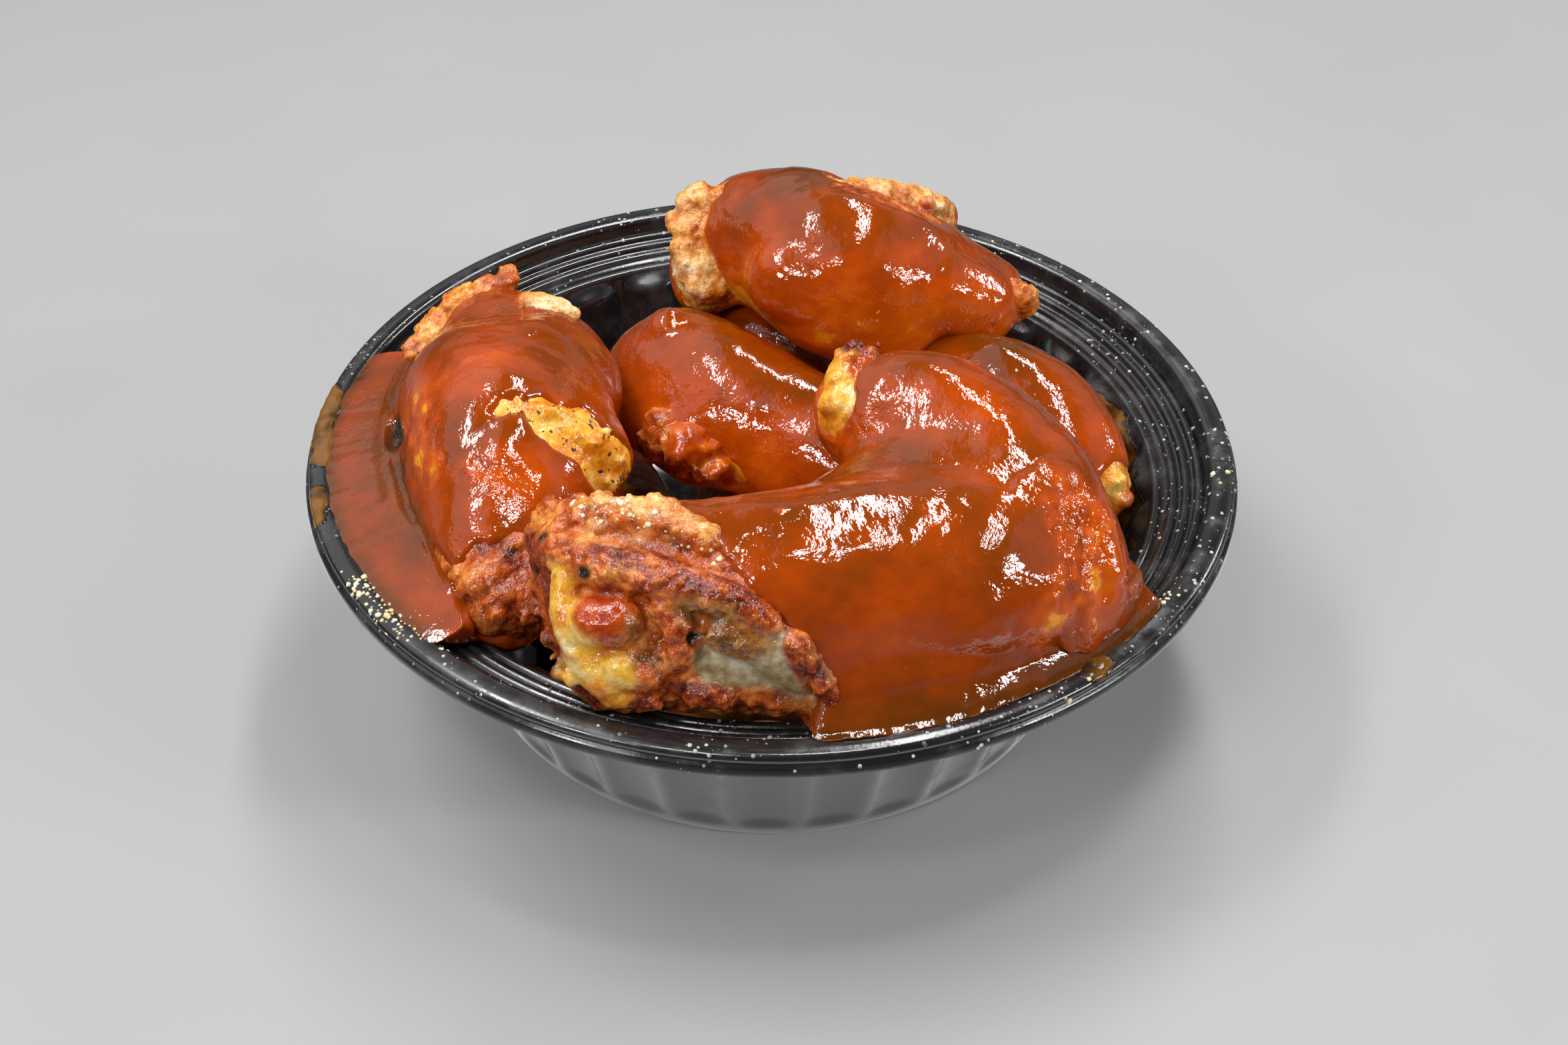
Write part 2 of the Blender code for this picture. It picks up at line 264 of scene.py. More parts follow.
def solid_copy(node):
    """A merged copy of a solid of the serving, with its flat facets rounded away."""
    shape = bmesh.new()
    shape.from_mesh(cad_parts[node].data)
    bmesh.ops.remove_doubles(shape, verts=shape.verts, dist=0.02 * MM)
    mesh = mesh_from(shape, node + "_round")
    drop_layers(mesh, [layer.name for layer in mesh.attributes if not layer.is_required])
    piece = add_piece(node + "_round", mesh)
    rounding = piece.modifiers.new("Round", "SUBSURF")
    rounding.levels = 2
    rounding.render_levels = 2
    return make_real(piece)


def between(a, b, c, d, t):
    """A point on the smooth curve from b to c, with neighbours a and d."""
    return 0.5 * (2 * b + (c - a) * t + (2 * a - 5 * b + 4 * c - d) * t * t
                  + (3 * b - a - 3 * c + d) * t ** 3)


def balls_along(chain, spacing=1.2):
    """Balls on a smooth curve through a chain, with their radius changing along it."""
    joints = [np.array(joint, float) for joint in chain]
    if len(joints) == 1:
        return joints
    path = [2 * joints[0] - joints[1]] + joints + [2 * joints[-1] - joints[-2]]
    balls = []
    for i in range(1, len(path) - 2):
        length = np.linalg.norm(path[i + 1][:3] - path[i][:3])
        count = max(1, round(length / spacing))
        for k in range(count):
            balls.append(between(path[i - 1], path[i], path[i + 1], path[i + 2], k / count))
    balls.append(joints[-1])
    return balls


def ball_mesh(name, chains):
    """Balls along each chain, ready to be melted into one skin."""
    shape = bmesh.new()
    for chain in chains:
        for ball in balls_along(chain):
            place = Matrix.Translation(Vector(ball[:3]) * MM)
            bmesh.ops.create_icosphere(shape, subdivisions=2, radius=ball[3] * MM, matrix=place)
    return mesh_from(shape, name)


def crumble(chain, count, size, seed):
    """Small balls strewn over the outside of a chain, for knobbly crust."""
    chance = np.random.default_rng(seed)
    balls = np.array(balls_along(chain, 0.8))
    picked = balls[chance.integers(0, len(balls), count)]
    away = chance.normal(size=(count, 3))
    away /= np.linalg.norm(away, axis=1)[:, None]
    away[:, 2] = np.abs(away[:, 2]) * 0.8
    radius = size * chance.uniform(0.5, 1.25, count)
    centre = picked[:, :3] + away * (picked[:, 3] - 0.25 * radius)[:, None]
    return [[(*c, r)] for c, r in zip(centre, radius)]


def melt_together(name, pieces, grain, softening):
    """Join pieces into one closed skin."""
    shape = bmesh.new()
    for piece in pieces:
        shape.from_mesh(piece.data)
        bpy.data.objects.remove(piece, do_unlink=True)
    whole = add_piece(name, mesh_from(shape, name))
    remesh(whole, grain)
    return soften(whole, softening)


# ---------------------------------------------------------------- node trees
class Tree:
    """Short words for building a node tree."""

    def __init__(self, tree):
        self.tree = tree
        self.column = 0

    def node(self, kind, inputs=(), **settings):
        made = self.tree.nodes.new(kind)
        self.column += 1
        made.location = (self.column * 40, -(self.column % 12) * 120)
        for name, value in settings.items():
            setattr(made, name, value)
        for key, value in dict(inputs).items():
            self.feed(made.inputs[key], value)
        return made

    def feed(self, socket, value):
        """Link a socket to another one, or set it to a plain value."""
        if isinstance(value, bpy.types.NodeSocket):
            self.tree.links.new(value, socket)
        else:
            socket.default_value = value

    def fill(self, made, **values):
        """Feed a node's inputs by their names, written with _ for each space."""
        for name, value in values.items():
            self.feed(made.inputs[name.replace("_", " ")], value)

    def math(self, operation, *values):
        return self.node("ShaderNodeMath", enumerate(values), operation=operation).outputs[0]

    def ramp(self, value, low, high):
        """0 at low, 1 at high, smooth between them."""
        made = self.node("ShaderNodeMapRange", {"Value": value, "From Min": low, "From Max": high},
                         interpolation_type="SMOOTHSTEP")
        return made.outputs["Result"]

    def spread(self, value, low, high):
        """Low where the value is 0, high where it is 1."""
        return self.node("ShaderNodeMapRange", {"Value": value, "To Min": low,
                                                "To Max": high}).outputs["Result"]

    def noise(self, place, scale, detail=2.0, roughness=0.5):
        return self.node("ShaderNodeTexNoise", {"Vector": place, "Scale": scale, "Detail": detail,
                                                "Roughness": roughness}).outputs["Fac"]

    def attribute(self, name, output="Fac"):
        return self.node("ShaderNodeAttribute", attribute_name=name).outputs[output]

    def bump(self, height, distance):
        return self.node("ShaderNodeBump", {"Height": height, "Distance": distance}).outputs[0]

    def blend(self, share, a, b, mode="MIX"):
        """Colour a where the share is 0, colour b where it is 1."""
        made = self.node("ShaderNodeMix", {0: share}, data_type="RGBA", blend_type=mode)
        for socket, value in ((made.inputs[6], a), (made.inputs[7], b)):
            self.feed(socket, (*value, 1.0) if isinstance(value, tuple) else value)
        return made.outputs[2]


def new_tree(name, kind, inputs, outputs):
    """A node tree with inputs as (name, socket, value) and outputs as (name, socket)."""
    tree = bpy.data.node_groups.new(name, kind)
    for label, socket_type, value in inputs:
        socket = tree.interface.new_socket(label, in_out="INPUT",
                                           socket_type="NodeSocket" + socket_type)
        if value is not None:
            socket.default_value = value
    for label, socket_type in outputs:
        tree.interface.new_socket(label, in_out="OUTPUT", socket_type="NodeSocket" + socket_type)
    t = Tree(tree)
    return tree, t, t.node("NodeGroupInput").outputs


# ---------------------------------------------------------------- the bowl
def wall_radius(height):
    """Radius of the sloping wall's inner face."""
    share = (height - WALL_FOOT[1]) / (WALL_TOP[1] - WALL_FOOT[1])
    return WALL_FOOT[0] + share * (WALL_TOP[0] - WALL_FOOT[0])


def bowl_outline():
    """(radius, height) once round the section: over the face, then back along the underside."""
    face = list(RIM_FACE)
    half = STEP_WIDTH / 2
    for i, (r, z) in enumerate(STEP_CRESTS):
        face += [(r + half, z - STEP_FALL * 0.55), (r + 0.5 * half, z - 0.16), (r, z),
                 (r - 0.55 * half, z - 0.1), (r - 0.9 * half, z - STEP_FALL * 0.6)]
        if i < len(STEP_CRESTS) - 1:
            inner = STEP_CRESTS[i + 1][0] + half
            middle = (r - half + inner) / 2
            face += [(min(r - half, middle + 0.35), z - STEP_FALL), (middle, z - STEP_FALL * 1.05)]
    face += [(wall_radius(z), z) for z in WALL_RINGS] + [WALL_FOOT] + FLOOR_FACE
    under = RIM_BACK + [(wall_radius(z) + WALL, z - 0.1) for z in WALL_RINGS[1:]] + FLOOR_BACK
    return face + under[::-1] + face[:1]


def bowl_tree(material):
    """Turns the outline round the middle and presses the flutes into its wall."""
    tree, t, size = new_tree("turned_fluted_bowl", "GeometryNodeTree", (
        ("Outline", "Geometry", None), ("Outline Points", "Int", 100),
        ("Steps Round", "Int", BOWL_STEPS), ("Flutes", "Float", float(FLUTES)),
        ("Depth at Top", "Float", FLUTE_TOP_DEPTH * MM),
        ("Depth at Foot", "Float", FLUTE_FOOT_DEPTH * MM),
        ("Flute Top", "Float", FLUTE_TOP_Z * MM), ("Flute Foot", "Float", FLUTE_FOOT_Z * MM),
        ("Flute Share", "Float", FLUTE_SHARE)), [("Bowl", "Geometry")])
    around = size["Steps Round"]
    rows = t.math("ADD", around, 1.0)
    grid = t.node("GeometryNodeMeshGrid", {"Vertices X": size["Outline Points"],
                                           "Vertices Y": rows})
    index = t.node("GeometryNodeInputIndex").outputs[0]
    column = t.math("FLOOR", t.math("DIVIDE", t.math("ADD", index, 0.5), rows))
    row = t.math("SUBTRACT", index, t.math("MULTIPLY", column, rows))
    turn = t.math("MULTIPLY", t.math("DIVIDE", row, around), 2 * math.pi)
    place = t.node("GeometryNodeInputPosition").outputs[0]
    sample = t.node("GeometryNodeSampleIndex", {"Geometry": size["Outline"], "Value": place,
                                                "Index": column}, data_type="FLOAT_VECTOR")
    apart = t.node("ShaderNodeSeparateXYZ", {0: sample.outputs[0]}).outputs
    radius, height = apart[0], apart[2]
    period = t.math("DIVIDE", t.math("MULTIPLY", turn, size["Flutes"]), 2 * math.pi)
    across = t.math("SUBTRACT", t.math("FRACT", t.math("ADD", period, 0.5)), 0.5)
    ratio = t.math("DIVIDE", across, size["Flute Share"])
    square = t.math("MULTIPLY", ratio, ratio)
    bulge = t.math("POWER", t.math("MAXIMUM", t.math("SUBTRACT", 1.0, square), 0.0), 0.7)
    upper = t.node("ShaderNodeMapRange", {
        "Value": height, "From Min": size["Flute Top"],
        "From Max": t.math("ADD", size["Flute Top"], 2.0 * MM), "To Min": 1.0, "To Max": 0.0})
    lower = t.ramp(height, t.math("SUBTRACT", size["Flute Foot"], 1.6 * MM),
                   t.math("ADD", size["Flute Foot"], 1.2 * MM))
    depth = t.node("ShaderNodeMapRange", {
        "Value": height, "From Min": size["Flute Foot"], "From Max": size["Flute Top"],
        "To Min": size["Depth at Foot"], "To Max": size["Depth at Top"]}).outputs["Result"]
    press = t.math("MULTIPLY", t.math("MULTIPLY", depth, bulge),
                   t.math("MULTIPLY", upper.outputs["Result"], lower))
    inner = t.math("SUBTRACT", radius, press)
    turned = t.node("ShaderNodeCombineXYZ", {
        0: t.math("MULTIPLY", inner, t.math("COSINE", turn)),
        1: t.math("MULTIPLY", inner, t.math("SINE", turn)), 2: height}).outputs[0]
    placed = t.node("GeometryNodeSetPosition", {"Geometry": grid.outputs["Mesh"],
                                                "Position": turned})
    welded = t.node("GeometryNodeMergeByDistance", {"Geometry": placed.outputs[0],
                                                    "Distance": 0.002 * MM})
    smooth = t.node("GeometryNodeSetShadeSmooth", {"Geometry": welded.outputs[0]})
    real = t.node("GeometryNodeRealizeInstances", {"Geometry": smooth.outputs[0]})
    dressed = t.node("GeometryNodeSetMaterial", {"Geometry": real.outputs[0],
                                                 "Material": material})
    t.node("NodeGroupOutput", {"Bowl": dressed.outputs[0]})
    return tree


def run_tree(piece, tree, values=()):
    """Run a node tree on a piece and keep the result as its plain mesh."""
    build = piece.modifiers.new("Build", "NODES")
    build.node_group = tree
    inputs = {item.name: item.identifier for item in tree.interface.items_tree
              if item.item_type == "SOCKET" and item.in_out == "INPUT"}
    for name, value in dict(values).items():
        build[inputs[name]] = value
    make_real(piece)


def make_bowl(material):
    outline = bowl_outline()
    mesh = bpy.data.meshes.new("bowl_shell")
    points = [(r * MM, 0.0, z * MM) for r, z in outline]
    mesh.from_pydata(points, [(i, i + 1) for i in range(len(points) - 1)], [])
    bowl = add_piece("bowl_shell", mesh)
    run_tree(bowl, bowl_tree(material), {"Outline Points": len(outline)})
    shape = bmesh.new()
    shape.from_mesh(bowl.data)
    bmesh.ops.dissolve_degenerate(shape, edges=shape.edges, dist=0.001 * MM)
    bmesh.ops.recalc_face_normals(shape, faces=shape.faces)
    shape.to_mesh(bowl.data)
    shape.free()
    bowl.data.shade_smooth()
    bowl.data.set_sharp_from_angle(angle=math.radians(SHARPEST_BEND))
    return bowl


# ---------------------------------------------------------------- crust, meat and gristle
# How each kind of surface looks: dark, middle and pale colour, size and height of its
# roughness in millimetres, and how wet it shines (1 is wettest).
KINDS = {
    "crust": ((0.15, 0.014, 0.003), (0.56, 0.098, 0.009), (0.92, 0.38, 0.07), 3.6, 0.60, 0.92),
    "cream": ((0.60, 0.15, 0.02), (0.90, 0.48, 0.12), (0.97, 0.86, 0.56), 3.2, 0.55, 0.90),
    "fringe": ((0.40, 0.05, 0.005), (0.80, 0.25, 0.012), (0.95, 0.62, 0.18), 3.0, 0.60, 0.96),
    "crisp": ((0.05, 0.006, 0.002), (0.28, 0.030, 0.003), (0.72, 0.17, 0.01), 2.4, 0.60, 0.95),
    "gristle": ((0.76, 0.25, 0.010), (0.88, 0.50, 0.05), (0.94, 0.80, 0.44), 4.2, 0.22, 0.99),
    "knob": ((0.50, 0.07, 0.006), (0.84, 0.31, 0.015), (0.95, 0.64, 0.15), 4.0, 0.35, 0.97),
    "film": ((0.36, 0.030, 0.001), (0.60, 0.085, 0.002), (0.86, 0.32, 0.01), 5.0, 0.12, 1.0),
    "meat": ((0.17, 0.10, 0.035), (0.46, 0.35, 0.18), (0.80, 0.76, 0.60), 4.5, 0.16, 0.98),
    "brown": ((0.06, 0.020, 0.005), (0.30, 0.11, 0.02), (0.62, 0.32, 0.07), 3.0, 0.40, 0.96),
    "skin": ((0.78, 0.21, 0.008), (0.90, 0.43, 0.03), (0.94, 0.70, 0.24), 4.0, 0.35, 0.98),
    # The yellow kind is yellow skin painted dim: painted shade for skin low in the heap.
    "yellow": ((0.18, 0.05, 0.005), (0.38, 0.17, 0.015), (0.58, 0.38, 0.08), 3.4, 0.35, 0.95),
    "olive": ((0.05, 0.03, 0.006), (0.22, 0.12, 0.02), (0.46, 0.30, 0.06), 6.0, 0.30, 0.92),
    # Char is near-black burnt skin; it is also laid in the pit in the sauce and in the gaps of the
    # cut end as painted shade.
    "char_and_shade": ((0.006, 0.004, 0.003), (0.02, 0.012, 0.008), (0.12, 0.05, 0.02), 2.0, 0.40, 0.85),
}

# Every place on a wing is a chain of balls (x, y, z, radius). Lumps stand out of the wing, and
# folds also lift the sauce. Crumbly places are strewn with small balls of crust: (chain, how
# many, how large). Bare places have no sauce, and crumbs and pepper lie on some of them. Thin
# sauce is orange, thick sauce is brown, spots of fat shine yellow and gritty sauce is rough.
# Creases and dents press the sauce in, and gaps press the skin in: (chain, how deep). Painted
# places are (kind, chains, softness of their edge). The apron is the sauce lying on the ledge
# of the bowl: (radius where it starts, radius of its outer edge). The grain is the size of the
# cells that the wing is melted together from.
WINGS = {
    "front": {
        "solids": ["wing_front"], "sauce": ["sauce_right"], "grain": 0.52, "seed": 11,
        "crumbs": [[(-32, -58, 79, 3), (-20, -64, 82, 3.5), (-8, -69, 79, 3)]],
        "lumps": [
            [(-39, -54, 67, 4.5), (-35, -63, 71, 4.5), (-28, -69, 73, 4.2), (-20, -72, 74, 4.0),
             (-12, -74.5, 73, 3.6), (-5, -76.5, 71.5, 3.2), (0, -78, 69, 2.6)],
            [(-38, -53, 70, 4.0), (-30, -59, 75, 4.0), (-20, -62, 77.5, 4.0), (-11, -66, 77, 3.5)],
            [(-34.5, -69, 70, 2.6), (-34, -73, 65, 3.0), (-32, -76, 60, 3.0)],
            [(-29, -75, 66, 4.8), (-25, -76, 67, 4.4)],
            [(-30, -76, 58, 4.2), (-27, -78, 56, 4.2)],
            [(-25, -78.5, 59, 3.8), (-20, -79, 58, 3.6)],
            [(-26, -78.5, 53, 3.2), (-20, -79, 52.5, 2.8)],
            [(-17.5, -76, 70, 2.6), (-14, -78, 66, 3.0), (-15, -79, 61, 2.6)],
            [(-6, -76, 66, 5.0), (1, -77.5, 63, 4.6), (6, -78, 58, 4.0)],
            [(-7.5, -78.5, 67, 3.4), (-4, -79, 66, 3.0)],
            [(-12, -79, 54.5, 3.4), (-8, -79.5, 54.5, 3.2)],
            [(4.5, -79, 66, 2.2)], [(7, -79.8, 62, 2.5)], [(9.5, -80.3, 57.5, 2.4)],
            [(10.5, -80.5, 54, 2.2)],
            [(-2, -79.5, 53, 1.6), (8, -80, 51.5, 1.4)],
            [(15, -12, 74, 4.2), (13.5, -17, 76, 4.0), (12.5, -22, 74, 4.0)],
            [(17.5, -14, 78.5, 2.6)], [(12, -20, 77.5, 2.2)], [(10.5, -23, 74, 2.4)],
        ],
        "gaps": [
            ([(-11.5, -80, 66.5, 1.6)], 2.2), ([(-15, -82, 60, 0.5), (-11, -82, 62, 0.5)], 1.6),
            ([(-20, -82, 65.5, 0.5), (-19, -82, 61, 0.5)], 1.0),
            ([(-33, -78, 63, 0.4), (-27, -82, 61.5, 0.4)], 1.0),
            ([(1.5, -82, 66, 0.6), (4, -83, 58, 0.6)], 1.0),
        ],
        "crumbly": [
            ([(-38, -53, 70, 4.6), (-30, -59, 76, 4.2), (-18, -62, 78.5, 3.6)], 60, 1.2),
            ([(-35, -63, 71, 4.8), (-20, -72, 74, 4.3), (-5, -76.5, 71.5, 3.4)], 60, 1.0),
            ([(-38, -58, 64, 5), (-36, -66, 57, 5), (-34, -75, 53, 4)], 50, 1.2),
            ([(-16, -76, 69, 3.2), (-16, -79, 60, 2.8)], 18, 1.0),
            ([(-12, -79, 54.5, 3.6), (-8, -79.5, 54.5, 3.4)], 26, 0.9),
            ([(4.5, -79.5, 66, 2.4), (10.5, -80.5, 54, 2.4)], 34, 0.9),
            ([(-7.5, -79, 67, 3.4), (-4, -79, 66, 3.0)], 12, 0.9),
            ([(-24, -79, 51, 3.0), (-18, -80, 54, 2.4)], 16, 0.9),
            ([(17, -12, 77, 4), (15, -15, 77.5, 4)], 34, 1.2),
        ],
        "apron": (83.0, 88.6),
        "creases": [
            ([(55, -54, 72.5, 1.2), (55, -58, 70.5, 1.2), (55, -62, 68, 1.2), (55.5, -65, 64, 1.2),
              (58, -64, 60, 1.0)], 1.3),
            ([(60, -50, 72, 0.8), (63, -53, 67, 0.8)], 0.7),
        ],
        "spots": [
            [(26, -28.5, 81.5, 1.5)], [(41, -72.5, 62, 1.0)], [(2, -62, 80, 0.8)],
            [(50, -69, 58, 1.0)], [(-2, -51, 78, 0.9)],
        ],
        "gritty": [
            [(50, -50, 76, 5), (55, -57, 71, 6), (53, -64, 65, 6), (48, -70, 59, 4)],
            [(12, -29, 73, 4), (17, -30, 75, 3)],
        ],
        "folds": [
            [(48.2, -44.9, 69, 9), (41.9, -53.7, 68, 9), (37.7, -59.3, 66.8, 9),
             (35.4, -65, 62.7, 8.5)],
            [(52, -65, 56.5, 2.0), (58, -60, 57.2, 2.2), (63, -54.5, 57, 2.2), (65, -50, 56, 2.0)],
            [(60, -56, 62.5, 2.6)],
            [(57.5, -50, 69, 3.4), (59, -54.5, 63, 3.4), (58, -58, 56, 3.4)],
            [(54, -60, 62, 3.2), (55, -62, 56, 3.2)],
            [(2, -77, 52, 4.0), (14, -76, 54, 5.0), (26, -73, 54, 5.0), (38, -68, 54, 5.0),
             (49, -61, 54, 5.0), (57, -53, 53, 5.0), (63, -45, 52, 4.0)],
        ],
        "bare": [
            [(-38, -56, 70, 12), (-24, -67, 69, 14), (-12, -74, 62, 14.5), (-4, -80, 53, 13.5)],
            [(-40, -58, 58, 9), (-34, -74, 52, 8), (-22, -80, 46, 7), (-8, -82, 46, 6)],
            [(14, -13, 77, 6.0), (11, -19, 77, 5.0), (10, -25, 74.5, 5.0)],
        ],
        "thin": [
            [(26, -28, 82, 6), (38, -30, 82, 5)], [(58, -52, 69, 7), (58, -60, 61, 5)],
            [(48, -68, 62, 4)],
        ],
        "thick": [
            [(20, -86, 52, 4), (62, -60, 52, 4)], [(4, -40, 70, 4), (20, -37, 76, 4)],
        ],
        "painted": [
            ("cream", [[(-31, -57, 79, 2.2), (-20, -62, 82.5, 2.4), (-10, -67, 81, 2.0)],
                       [(-32, -65, 77.5, 1.6), (-22, -69, 79.5, 2.0), (-12, -72, 78, 1.2)]], 2.4),
            ("crisp", [[(-29, -69, 76, 2.0), (-18, -73, 76.5, 3.2), (-8, -76.5, 75, 3.2),
                        (-1, -79, 71.5, 2.2)],
                       [(-40, -60, 68, 5), (-37, -68, 66, 3.5), (-37, -74, 58, 3.5),
                        (-32, -79, 51, 2.0), (-24, -81, 50, 1.6)]], 1.3),
            ("gristle", [[(-35, -69, 71, 2.6), (-34, -75, 65, 3.4), (-31, -79, 63.5, 3.2)],
                         [(-33, -78, 57, 3.4), (-25, -82, 60, 3.8)]], 1.2),
            ("film", [[(-28.5, -77, 70, 3.6), (-25, -78, 69, 3.4)]], 2.2),
            ("brown", [[(-20.5, -80, 68.5, 3.2), (-20, -81, 63, 2.8)],
                       [(-13, -78, 71, 3.2), (-8, -79, 71, 2.6)]], 1.6),
            ("knob", [[(-29, -81, 54.5, 3.0), (-25, -82, 54.5, 2.4)], [(-35, -75, 66, 1.4)]], 1.3),
            ("crust", [[(-17.5, -79, 70, 2.0), (-13.5, -81, 66, 2.4), (-14.5, -82, 60.5, 2.2)],
                       [(-22.5, -81, 65, 1.2), (-19.5, -82, 59, 1.4)]], 0.9),
            ("crisp", [[(-22, -82, 52, 1.8), (-17.5, -82, 55, 2.0), (-16.5, -82, 58, 1.4)]], 1.0),
            ("meat", [[(-8, -80, 61, 4.6), (2, -81, 62, 6.0), (6, -82, 59, 5.0)]], 1.2),
            ("brown", [[(-7.5, -81, 67, 3.6), (-3.5, -81, 66, 3.6)]], 1.4),
            # The gap and the slit in the cut end are painted near-black: painted shade.
            ("char_and_shade", [[(-11.5, -80, 66.5, 1.5)], [(-15, -82, 60, 0.6), (-11, -82, 62, 0.6)]], 0.8),
            ("knob", [[(-7.5, -83, 58, 1.2)], [(5, -81, 69, 1.2)]], 1.0),
            ("olive", [[(-3, -83, 54.5, 1.6), (8, -83, 53, 1.6)]], 1.0),
            ("crisp", [[(-12.5, -82, 54.5, 3.4), (-7.5, -83, 54.5, 3.2)],
                       [(4.5, -81, 66, 2.2), (7, -82, 62, 2.6), (10.5, -83, 54.5, 2.6)]], 0.8),
            ("char_and_shade", [[(-31, -72, 74, 1.3)], [(-36.5, -70, 72, 0.9)], [(-39, -62, 74, 1.2)]], 0.6),
            ("gristle", [[(14, -14, 77, 6), (9, -24, 75, 6)]], 1.5),
            ("film", [[(16, -18, 79, 3.2)], [(9, -19, 74, 2.6)]], 1.5),
            ("knob", [[(9, -28, 73, 3.6)]], 2.0),
            ("crisp", [[(17, -12, 79, 4.6)]], 1.5),
        ],
    },
    "left": {
        "solids": ["wing_left"], "sauce": ["sauce_left"], "grain": 0.62, "seed": 23,
        "pepper": [[(-50, -24, 74, 4), (-38, -24, 68, 6), (-30, -22, 55, 7)]],
        "lumps": [
            [(-71, 14, 60, 1.5), (-68, 19.5, 63, 1.9), (-63, 24, 65, 1.7), (-58, 27, 66.5, 2.1),
             (-54, 28, 67.5, 2.0)],
            [(-50, 16.5, 70, 2.1), (-45, 17.5, 69.5, 1.6), (-40, 16.5, 67, 1.3)],
            [(-50, -50, 54, 6.4)], [(-45, -53, 51, 6.0)], [(-50, -55, 50, 4.5)],
            [(-43, -49, 56, 4.0)], [(-46, -47, 58, 4.0)],
            [(-43, -22, 70.5, 2.4), (-35, -22, 64, 3.6), (-31, -21, 57.5, 3.6)],
            [(-36, -18, 66.5, 2.0)], [(-31, -24, 56, 2.6)],
        ],
        "crumbly": [
            ([(-72, 13, 60, 2.4), (-66, 22, 64.5, 2.4), (-54, 29, 68, 2.2)], 80, 1.3),
            ([(-50, 16, 70, 2.4), (-40, 16, 67, 1.8)], 26, 1.0),
            ([(-50, -50, 54, 7.0), (-45, -53, 51, 6.8)], 80, 1.6),
            ([(-43, -24, 71, 3.0), (-35, -22, 64.5, 4.4), (-31, -22, 57, 4.2)], 46, 0.9),
        ],
        "apron": (75.0, 87.8),
        "creases": [
            ([(-73.5, -5, 54, 1.6), (-73, -10, 54, 1.8)], 3.0),
            ([(-71, -18, 54, 1.0), (-68, -30, 54, 1.0), (-63, -41, 55, 1.0), (-58, -49, 56, 1.0)],
             0.8),
        ],
        "gritty": [[(-67, -14, 64, 5), (-62, -28, 64, 5)], [(-52, -36, 66, 4)]],
        "spots": [[(-55.5, -27.5, 73, 1.3)], [(-60, -20, 73, 0.8)], [(-64, -28, 68, 0.7)]],
        "folds": [
            [(-50, -30, 64, 7), (-43, -35, 60, 7)],
            [(-68, 18, 52, 6.5), (-71, 6, 51, 6.0), (-70, -10, 50, 5.0), (-67, -22, 50, 5.0),
             (-62, -34, 50, 5.5), (-55, -44, 50, 6.0)],
        ],
        "bare": [
            [(-73.5, 13, 61, 2.8), (-66, 26, 66, 2.8), (-57, 32, 69, 2.9), (-53, 33, 69, 2.9)],
            [(-50, 18.8, 72, 3.1), (-39, 18.5, 69, 1.9)],
            [(-49, -53, 54, 8.0), (-44, -53, 52, 7.5)],
            [(-53, -26, 74, 0.8), (-49, -24, 75, 2.2), (-44, -24, 74, 3.4), (-38, -24, 69.5, 5.2),
             (-33.5, -22.5, 65, 6.4), (-29.5, -22.5, 57, 6.6), (-29, -23, 52, 5.5)],
        ],
        "thin": [
            [(-58, -14, 74, 5), (-49, -6, 74, 3)], [(-67, -12, 62, 7), (-62, -34, 60, 6)],
            [(-44, -34, 66, 5)],
        ],
        "thick": [[(-77, 14, 54, 5), (-75, -8, 54, 5), (-71, -24, 54, 5), (-64, -40, 54, 5)]],
        "painted": [
            ("fringe", [[(-73, 12, 61, 6), (-62, 30, 66, 6), (-53, 36, 67, 5)]], 2.0),
            # The pit in the sauce is painted near-black: painted shade.
            ("char_and_shade", [[(-74, -2, 54, 5), (-73, -14, 54, 5)]], 1.5),
            ("cream", [[(-46, 18, 71, 5), (-38, 17, 67, 5)]], 1.5),
            ("knob", [[(-52, 18, 72, 4)]], 1.5),
            ("crust", [[(-49, -52, 54, 11), (-44, -53, 52, 10)]], 2.0),
            ("crisp", [[(-53, -54, 50, 4), (-44, -55, 48, 4)], [(-46, -50, 59, 2.5)]], 2.0),
            ("skin", [[(-54, -26, 73, 6), (-43, -23, 71, 8), (-35, -23, 64, 10),
                       (-30, -23, 55, 10)]], 1.5),
            ("knob", [[(-29, -24, 57, 3.0)], [(-53, -27, 73, 3)]], 1.5),
        ],
    },
    "middle": {
        "solids": ["wing_middle"], "sauce": [], "grain": 0.62, "seed": 37,
        "lumps": [[(-22, 3, 49, 4.4)], [(-17, -1.5, 48, 5.0)], [(-12, -2.5, 44, 4)],
                  [(-24, 5, 44, 4)]],
        "crumbly": [([(-25, 4, 46, 4.6), (-17, -2, 47, 5.2), (-11, -3.5, 43, 4)], 44, 1.5)],
        "folds": [[(-21.5, 24, 58.5, 4.5)]],
        "bare": [[(-25, 1, 44, 5.5), (-17, -5, 44, 6.2), (-11, -6, 41, 5)]],
        "thin": [[(-22, 4, 52, 7), (-12, 0, 52, 7), (0, -2, 50, 8)]],
        "thick": [[(16, 2, 58, 6)]],
        "painted": [
            ("crust", [[(-26, 3, 48, 8), (-10, -4, 44, 8)]], 2.0),
            ("film", [[(-20, 1, 50, 3.5)]], 2.0),
            ("film", [[(-17, -4, 51, 4), (-8, -4, 46, 5)]], 2.0),
            ("crisp", [[(-25, 2, 41, 6), (-12, -6, 38, 5)]], 2.5),
        ],
    },
    "back": {
        "solids": ["wing_back"], "sauce": [], "grain": 0.66, "seed": 41,
        "lumps": [
            [(-16, 49, 75, 3.6), (-18, 45, 70, 3.6), (-17.5, 41, 65, 3.8), (-14.5, 38, 60, 3.8)],
            [(-12, 47, 76, 3.0)], [(-19, 46, 66, 2.6)],
